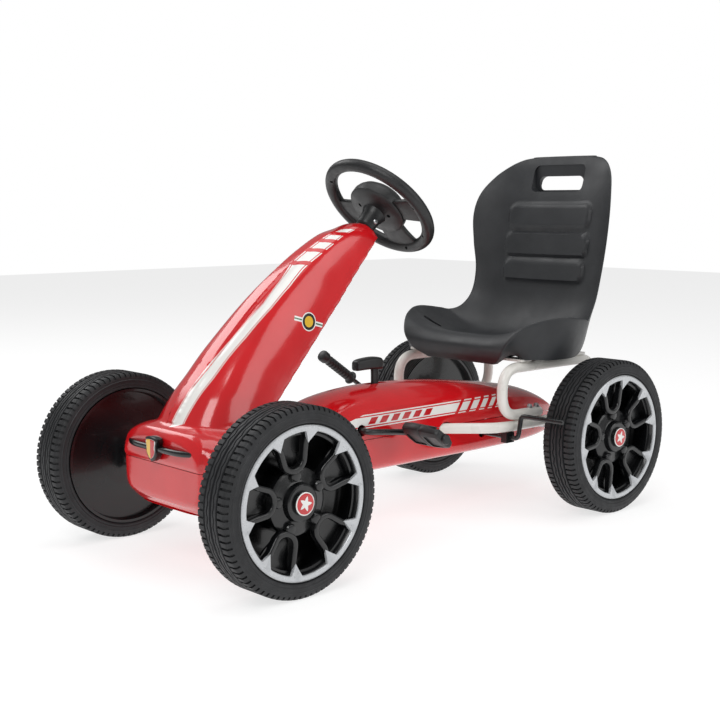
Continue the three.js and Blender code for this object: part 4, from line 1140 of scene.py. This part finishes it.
class KART_OT_steering(bpy.types.Operator):
    """The steering wheel with its webs, hub dome and collar, and the finish of the linkage"""

    bl_idname = "kart.steering"
    bl_label = "Steering"

    def execute(self, context):
        radius, grip = 92.5, 10.3
        path = [steer_at(360 * k / 96, radius, 0) for k in range(96)]
        rim_bar = sweep("grip", path, circle(grip, 24), up=UP_COLUMN, closed=True)
        parts = [rim_bar]
        boss = turned("boss", [
            (-16.4, 0), (-16.4, 20), (-14, 30), (-12, 46), (-8, 50), (2, 50), (8, 48), (14, 44), (20, 36),
            (25, 26),
            (28, 12), (28.5, 0),
        ], WHEEL_HEIGHT, UP_COLUMN, steps=96)
        # Sunk screw holes on the underside of the boss and of the grip.
        for target, radius_in, depth, spots in ((boss, 28, 11.5, (-141, 15)),
                                                (rim_bar, 88, 6.8, (-132, -3, 41, 85))):
            for degrees in spots:
                width = 3.4 if target is boss else 2.6
                carved(target, turned("sink", [(-30, 0), (-30, width), (-depth, width), (-depth, 0)],
                                      steer_at(degrees, radius_in, 0), UP_COLUMN, steps=20))
        parts.append(boss)
        for degrees, inner_half, outer_half in ((5, 19, 24), (175, 19, 24), (90, 24, 31)):
            def web(i, j, turn=degrees, a=inner_half, b=outer_half):
                u, t = i / 12 * 2 - 1, j / 12
                out = 40 + (radius - 39) * t
                aside = u * (a + (b - a) * t + 5 * (2 * t - 1) ** 4)
                lift = -2 + 3 * t * t - 1.6 * (1 - u * u) * math.sin(math.pi * t)
                reach = math.sqrt(max(out * out - aside * aside, 1))
                return steer_at(turn + math.degrees(math.atan2(aside, reach)), out, lift)
            plate = sheet_of("web", 13, 13, web)
            modified(plate, "SOLIDIFY", thickness=8 * MM, offset=0)
            parts.append(bevelled(plate, 2, angle=40, segments=3))
        piece(join("steering", *parts), "steering_wheel_piece", "steering",
              finish("satin_black"),
              ("steering_wheel", "steering_hub_pad"), 38)
        bell = turned("collar", [
            (-16.4, 0), (-16.4, 21), (-20, 19.5), (-27, 17), (-44, 16), (-47, 15), (-49, 13), (-49, 0),
        ], WHEEL_HEIGHT, UP_COLUMN, steps=48)
        piece(bell, "column_collar_piece", "steering", finish("satin_black"),
              ("column_collar",))
        head = turned("head", [(14, 0), (14, 4.6), (17.6, 4.4), (19.2, 3.2), (19.8, 0)],
                      on_column(0, -34, 0), Vector((1, 0, 0)), steps=24)
        piece(head, "collar_bolt_piece", "steering", finish("zinc"), ("collar_bolt",))
        for name, look in (("steering_column", "black_enamel"), ("column_bracket", "black_enamel"),
                           ("front_axle_beam", "black_enamel"), ("steering_knuckle_left", "black_enamel"),
                           ("steering_knuckle_right", "black_enamel"), ("kingpin_left", "zinc"),
                           ("kingpin_right", "zinc"),
                           ("tie_rod_left", "zinc"), ("tie_rod_right", "zinc"), ("wheel_bush_left", "nylon"),
                           ("wheel_bush_right", "nylon")):
            dress(name, look)
        return {"FINISHED"}


# ---------------------------------------------------------------- seat
# y, z, direction of the surface from rearward, half width, height of the wings, wall,
# how much lower the sides hang, width of the underside against the top
SEAT = (
    (216, 255, 176, 84, 2, 12, 0, 0.94), (206, 268, 168, 106, 5, 13, 3, 0.94),
    (204, 285, 145, 122, 10, 14, 10, 0.94),
    (219, 299, 108, 140, 22, 14, 24, 0.94), (242, 300, 84, 160, 36, 14, 25, 0.94),
    (264, 294, 82, 173, 47, 14, 22, 0.93),
    (290, 286, 84, 181, 56, 14, 15, 0.91), (322, 281, 90, 181, 58, 14, 11, 0.89),
    (353, 280, 100, 177, 56, 14, 8, 0.85),
    (386, 288, 122, 170, 50, 15, 3, 0.79), (413, 312, 143, 159, 40, 17, 0, 0.76),
    (433, 350, 160, 153, 31, 17, 0, 0.75),
    (445, 400, 170, 154, 29, 16, 0, 0.74), (454, 450, 171, 162, 37, 16, 0, 0.72),
    (462, 500, 170, 166, 43, 16, 0, 0.72),
    (471, 540, 169, 159, 40, 17, 0, 0.73), (482, 574, 168, 141, 27, 18, 0, 0.75),
    (489, 598, 167, 118, 12, 17, 0, 0.80),
    (494, 611, 166, 96, 3, 14, 0, 0.85), (496, 616, 166, 76, -2, 12, 0, 0.88),
)
KEYED_SEAT = [(k,) + row for k, row in enumerate(SEAT)]
PADS = ((504, 96, 24), (451, 98.5, 23), (403, 95, 22))  # height, half width, half height of the three pads
SEAT_ROWS, SEAT_TOP, SEAT_WALL, SEAT_UNDER, SEAT_ROLL = 200, 110, 16, 44, 8


def pad_rise(x, z):
    """How far the padding stands out at a place on the backrest."""
    rise = 0.0
    for mid, half, tall in PADS:
        aside, above = max(0, abs(x) - half + 16), max(0, abs(z - mid) - tall + 16)
        edge = min(half - abs(x), tall - abs(z - mid), 16 - math.hypot(aside, above))
        rise = max(rise, 5.6 * step_up(edge, 1.2, 5))
    return rise


def seat_ring(j):
    """One closed section of the seat with rounded rims; the first and last rows roll the edge over."""
    roll = max(0, 1 - j / SEAT_ROLL, 1 - (SEAT_ROWS - 1 - j) / SEAT_ROLL)
    share = max(0, min(1, (j - SEAT_ROLL) / (SEAT_ROWS - 1 - 2 * SEAT_ROLL)))
    _, y, z, direction, half, wing, depth, skirt, share_under = row_at(KEYED_SEAT, (len(SEAT) - 1) * share)
    squeeze = math.cos(roll * math.pi / 2 * 0.95)
    push = math.sin(roll * math.pi / 2) * depth * 0.2 * (1 if share > 0.5 else -1)
    a = math.radians(direction)
    up, on = Vector((0, math.cos(a), math.sin(a))), Vector((0, math.sin(a), -math.cos(a)))

    def point(x, lift):
        u = min(1, abs(x) / half)
        x *= 1 - 0.16 * (1 - squeeze)
        level = (wing * u**3.2 + 0.12 * wing * u * u - depth) / 2
        return at(x, y, z) + (up * (level + (lift - level) * squeeze) + on * push) * MM

    def under(u):
        return half * u * share_under, 0.12 * wing * u * u - depth - skirt * max(0, abs(u) - 0.7) / 0.3

    ring = []
    for k in range(SEAT_TOP + 1):
        t = 2 * k / SEAT_TOP - 1
        u = t * (1.5 - 0.5 * t * t)
        rise = pad_rise(half * u, z) if z > 370 else 0
        ring.append((half * u, wing * abs(u) ** 3.2 + rise))
    for k in range(1, SEAT_WALL):
        v = (k / SEAT_WALL) ** 2
        x, lift = under(1)
        ring.append((half * (1 - v) + x * v, wing * (1 - v) + lift * v))
    for k in range(SEAT_UNDER + 1):
        ring.append(under(1 - 2 * k / SEAT_UNDER))
    for k in range(1, SEAT_WALL):
        v = 1 - (1 - k / SEAT_WALL) ** 2
        x, lift = under(-1)
        ring.append((x * (1 - v) - half * v, lift * (1 - v) + wing * v))
    # Each rim is turned into a bend between a place on the top and one on the outer side.
    for corner, step in ((SEAT_TOP, 1), (0, -1)):
        first, tip, last = ring[corner - 12 * step], ring[corner], ring[(corner + 6 * step) % len(ring)]
        for k in range(-12, 7):
            t = (k + 12) / 18
            ring[(corner + k * step) % len(ring)] = tuple(
                a * (1 - t) ** 2 + b * 2 * t * (1 - t) + c * t * t for a, b, c in zip(first, tip, last))
    return [point(x, lift) for x, lift in ring]


class KART_OT_seat(bpy.types.Operator):
    """The bucket seat: one moulded shell with raised pads, a hand hole and drain slots"""

    bl_idname = "kart.seat"
    bl_label = "Seat"

    def execute(self, context):
        rings = [seat_ring(j) for j in range(SEAT_ROWS)]
        around = len(rings[0])
        seat = sheet_of("seat", around + 1, SEAT_ROWS, lambda i, j: rings[j][i % around], close_ends)
        # The hand hole: a rounded recess from the front with a slot right through its lower part.
        for half, z, tall, first, last in ((60, 576, 50, 430, 491), (52, 567, 26, 430, 560)):
            path = [at(0, first, z), at(0, last, z)]
            carved(seat, sweep("hole", path, rounded_block(2 * half, tall, 11, 8)))
        for _, sign in SIDES:
            lean = math.radians(30) * sign
            section = [(a * math.cos(lean) - b * math.sin(lean), a * math.sin(lean) + b * math.cos(lean))
                       for a, b in rounded_block(34, 17, 8, 6)]
            path = [at(sign * 130, 279, 240), at(sign * 130, 279, 345)]
            carved(seat, sweep("drain", path, section, up=Vector((0, 1, 0))))
        piece(seat, "seat_piece", "chassis", finish("seat"), ("seat_shell",), 40)
        foot = block("foot", (-96, 228, 265.8), (96, 396, 276), 3)
        piece(foot, "seat_foot_piece", "chassis", finish("seat"))
        return {"FINISHED"}


# ---------------------------------------------------------------- pedals and levers
CRANK_Y, CRANK_Z, CRANK_R = -80, 172, 82


class KART_OT_pedals(bpy.types.Operator):
    """The bent crank rod, two ribbed pedals, and the finish of the chain drive"""

    bl_idname = "kart.pedals"
    bl_label = "Pedals"

    def execute(self, context):
        drop = math.radians(7)
        back, down = CRANK_R * math.cos(drop), CRANK_R * math.sin(drop)
        ends = {sign: (CRANK_Y + sign * back, CRANK_Z - sign * down) for _, sign in SIDES}
        ly, lz = ends[1]
        ry, rz = ends[-1]
        corners = [at(173, ly, lz), at(80, ly, lz), at(80, CRANK_Y, CRANK_Z),
                   at(-80, CRANK_Y, CRANK_Z), at(-80, ry, rz), at(-173, ry, rz)]
        rod = sweep("rod", rounded(corners, 12, 8), circle(5, 20), up=Vector((0.1, 0.2, 1)))
        piece(bevelled(rod, 0.8, angle=50), "crank_rod_piece", "crank",
              finish("black_enamel"), ("crank_axle",))
        for side, sign in SIDES:
            y, z = ends[sign]
            tilt = math.radians(-38 * sign)
            along = Vector((0, math.cos(tilt), math.sin(tilt)))
            over = Vector((0, -math.sin(tilt), math.cos(tilt)))
            parts = []
            # Across the foot: rows of sections from the inner to the outer end of the pedal.
            outline = [(-27, 0), (-26, 6), (-19, 9.6), (0, 10.2), (19, 9.6), (26, 6),
                       (27, 0), (26, -5), (17, -9), (0, -10), (-17, -9), (-26, -5)]
            stations = ((0, 0.84), (2, 0.95), (5, 1.0), (37, 1.0), (38, 0.94), (40, 0.94), (41, 1.0),
                        (46, 0.99),
                        (68, 0.84), (73, 0.78), (76, 0.66))

            def place(i, j):
                a, b = outline[i % len(outline)]
                x, size = stations[j]
                return at(sign * (93 + x), y, z) + (along * a * size + over * b * size) * MM

            body = bevelled(sheet_of("body", len(outline) + 1, len(stations), place, close_ends), 1.0,
                            angle=30)
            # The underside is hollow in two pockets either side of a web.
            for x, wide in ((112.5, 27), (150, 26)):
                centre = at(sign * x, y, z)
                path = [centre - over * 14 * MM, centre - over * 7.2 * MM]
                carved(body, sweep("pocket", path, rounded_block(wide, 30, 3, 4), up=along))
            parts.append(body)
            for k in range(-2, 3):
                centre = at(sign * 128, y, z) + (along * k * 8.2 + over * 9.9) * MM
                reach = Vector((sign * (30 - abs(k)) * MM, 0, 0))
                parts.append(sweep("rib", [centre - reach, centre + reach], rounded_block(3.4, 3.0, 1.2, 3),
                                   up=over))
            # A stop cap closes the rod's outer end.
            parts.append(turned("cap", [(75.5, 0), (75.5, 8.6), (79, 8.4), (81.4, 6.4), (81.8, 0)],
                                at(sign * 93, y, z), Vector((sign, 0, 0)), steps=28))
            piece(join("pedal", *parts), f"pedal_{side}_piece", f"{side}_pedal",
                  finish("satin_black"),
                  (f"pedal_{side}",), 30)
        for name, look in (("crank_sprocket", "zinc"), ("axle_sprocket", "zinc"),
                           ("drive_chain", "black_enamel"),
                           ("rear_axle", "zinc"), ("axle_bearing_left", "nylon"),
                           ("axle_bearing_right", "nylon")):
            dress(name, look)
        return {"FINISHED"}


class KART_OT_levers(bpy.types.Operator):
    """The hand brake with its ribbed grip, and the gear lever"""

    bl_idname = "kart.levers"
    bl_label = "Levers"

    def execute(self, context):
        py, pz = 204, 134

        def brake(x, dy, dz):
            return at(x, py + dy, pz + dz)

        shaft = sweep("shaft", rounded([
            brake(236, 8, 38), brake(146, 8, 38), brake(146, 0, 0),
            brake(-146, 0, 0), brake(-146, 8, 38), brake(-236, 8, 38),
        ], 8, 8), circle(4, 20), up=Vector((0.1, 1, 0.2)))
        lever = sweep("lever",
                      rounded([brake(-158, 8, 38), brake(-158, -48, 42), brake(-158, -112, 86)], 20, 10),
                      circle(4, 20), up=Vector((1, 0, 0)))
        rod = join("brake", bevelled(shaft, 0.8, angle=50), lever)
        piece(rod, "brake_rod_piece", "hand_brake", finish("black_enamel"), ("brake_lever",))
        along = (brake(0, -112, 86) - brake(0, -48, 42)).normalized()
        profile = [(-8, 4.4), (-8, 11), (-6.5, 12), (-4.5, 12), (-3, 10.6), (-2, 8.4)]
        for k in range(8):
            start = 2 + k * 7.2
            profile += [(start, 7.6), (start + 1.2, 8.9), (start + 4.4, 8.9), (start + 5.6, 7.6)]
        profile += [(60, 8.2), (64, 9.0), (66, 10.4), (74, 10.6), (77, 9.6), (78.4, 7), (78.6, 0)]
        grip = turned("grip", profile, brake(-158, -112, 86), along, steps=40)
        edit(grip, close_ends)
        piece(grip, "brake_grip_piece", "hand_brake", finish("satin_black"),
              ("brake_grip",), 28)
        for name in ("brake_clip_left", "brake_clip_right"):
            dress(name, "black_enamel")
        # The gear lever: an oval stem that flares into a handle set across it, higher at the rear.
        stem = sweep("stem", [at(0, 8, z) for z in (170, 200, 230, 246, 254, 258)],
                     rounded_block(7.6, 13.6, 3, 4),
                     up=Vector((0, 1, 0)), scale=lambda t: 1 + 0.35 * max(0.0, t - 0.6) ** 1.5)
        stem_pin = turned("pin",
                          [(-11.5, 0), (-11.5, 3), (-7, 3), (-7, 7.8), (7, 7.8), (7, 3), (11.5, 3),
                           (11.5, 0)],
                          at(0, 8, 178), Vector((1, 0, 0)), steps=28)
        piece(join("stem", stem, stem_pin), "gear_stem_piece", "gear_selector",
              finish("satin_black"),
              ("gear_lever_stem",))
        sizes = ((-37, 0.62, -1), (-35.5, 0.8, -0.6), (-32, 0.9, 0), (-20, 0.95, 0.8), (-4, 1.0, 1.2),
                 (10, 1.02, 0.6), (17, 0.98, -0.4), (20, 0.86, -1), (21, 0.7, -1.2))
        outline = rounded_block(21, 20, 5.4, 5)

        def place(i, j):
            dy, size, lift = sizes[j]
            a, b = outline[i % len(outline)]
            return at(a * size, dy, 266.4 + lift + b * size - (1 - size) * 4)

        knob = sheet_of("knob", len(outline) + 1, len(sizes), place, close_ends)
        modified(knob, "SUBSURF", levels=1, render_levels=1)
        piece(knob, "gear_knob_piece", "gear_selector", finish("satin_black"),
              ("gear_lever_knob",), 40)
        dress("gear_lever_bracket", "black_enamel")
        return {"FINISHED"}


# ---------------------------------------------------------------- stage
class KART_OT_stage(bpy.types.Operator):
    """The pale floor, the soft lights and the camera"""

    bl_idname = "kart.stage"
    bl_label = "Stage"

    def execute(self, context):
        scene = context.scene
        nothing_selected()
        bpy.ops.mesh.primitive_plane_add(size=14, location=(0, 0, 0))
        floor = context.object
        floor.name = "floor"
        # The floor shines a little of its own so that it stays white behind the kart but still takes a shadow.
        made, tree, shader = finish_of("pale_floor", "#A8A8A8", 0.9)
        grained(tree, shader, 40, 0.02, 0.86, 0.94)
        shader.inputs["Emission Color"].default_value = (1, 1, 1, 1)
        shader.inputs["Emission Strength"].default_value = 0.72
        shader.inputs["Specular IOR Level"].default_value = 0.0
        floor.data.materials.append(made)
        # The camera sees a white backdrop; the kart is lit by a dimmer one, so its blacks stay black.
        world = bpy.data.worlds.new("studio")
        world.use_nodes = True
        tree = world.node_tree
        dim = tree.nodes["Background"]
        dim.inputs["Color"].default_value = (1, 1, 1, 1)
        dim.inputs["Strength"].default_value = 0.30
        bright = node(tree, "Background", Color=(1, 1, 1, 1), Strength=1.0)
        seen = node(tree, "LightPath")
        both = node(tree, "MixShader",
                    [(0, seen.outputs["Is Camera Ray"]), (1, dim.outputs[0]), (2, bright.outputs[0])])
        tree.links.new(both.outputs[0], tree.nodes["World Output"].inputs["Surface"])
        scene.world = world
        scene.view_settings.view_transform = "Standard"
        for name, place, size, watts in (
            ("key", (1.6, -2.6, 2.8), 1.8, 48), ("fill", (3.0, 1.4, 1.8), 2.2, 26),
            ("rim", (-2.6, -0.6, 2.6), 1.8, 30),
            ("top", (0.2, 0.2, 3.2), 2.4, 30),
        ):
            bpy.ops.object.light_add(type="AREA", location=place)
            light = context.object
            light.name = name
            light.data.size = size
            light.data.energy = watts
            light.rotation_euler = (Vector((0, 0, 0.25)) - Vector(place)).to_track_quat("-Z", "Y").to_euler()
        settings = scene.kart_view
        target = at(*settings.target)
        place = at(*settings.place)
        bpy.ops.object.camera_add(location=place,
                                  rotation=(target - place).to_track_quat("-Z", "Y").to_euler())
        camera = context.object
        camera.name = "camera"
        camera.data.sensor_width = 36
        camera.data.lens = settings.lens
        camera.data.clip_end = 50
        scene.camera = camera
        return {"FINISHED"}


# ---------------------------------------------------------------- settings and panel
class KartSizes(bpy.types.PropertyGroup):
    """Sizes a user may change"""

    tread_steps: IntProperty(name="Tread steps",
                             description="Steps round a tyre; each shoulder slot takes three", default=252,
                             min=60)
    shell_wall: FloatProperty(name="Shell wall", description="Wall of the red shells in millimetres",
                              default=3.0, min=1.5)


class KartView(bpy.types.PropertyGroup):
    """Where the camera stands"""

    place: FloatVectorProperty(name="Camera place",
                               description="Millimetres from the middle of the wheelbase",
                               default=(1493.5, -1390.1, 531.0))
    target: FloatVectorProperty(name="Camera target",
                                description="Millimetres from the middle of the wheelbase",
                                default=(-62.5, 32.4, 263.5))
    lens: FloatProperty(name="Lens", description="Focal length on a 36 mm sensor", default=62.15,
                        unit="CAMERA")


STEPS = (KART_OT_stage, KART_OT_wheels, KART_OT_fairings, KART_OT_tubes, KART_OT_nose_trim, KART_OT_steering,
         KART_OT_seat, KART_OT_pedals, KART_OT_levers)


class KART_PT_panel(bpy.types.Panel):
    """Lists the pieces of the kart"""

    bl_idname = "KART_PT_panel"
    bl_label = "Pedal go kart"
    bl_space_type = "VIEW_3D"
    bl_region_type = "UI"
    bl_category = "Kart"

    def draw(self, context):
        for settings, names in ((context.scene.kart_sizes, ("tread_steps", "shell_wall")),
                                (context.scene.kart_view, ("place", "target", "lens"))):
            for name in names:
                self.layout.prop(settings, name)
        for step in STEPS:
            self.layout.operator(step.bl_idname)


CLASSES = (KartSizes, KartView) + STEPS + (KART_PT_panel,)


def register():
    for cls in CLASSES:
        bpy.utils.register_class(cls)
    bpy.types.Scene.kart_sizes = PointerProperty(type=KartSizes)
    bpy.types.Scene.kart_view = PointerProperty(type=KartView)


def unregister():
    del bpy.types.Scene.kart_view
    del bpy.types.Scene.kart_sizes
    for cls in reversed(CLASSES):
        bpy.utils.unregister_class(cls)


def main():
    register()
    for step in STEPS:
        group, name = step.bl_idname.split(".")
        getattr(getattr(bpy.ops, group), name)()


if __name__ == "__main__":
    main()
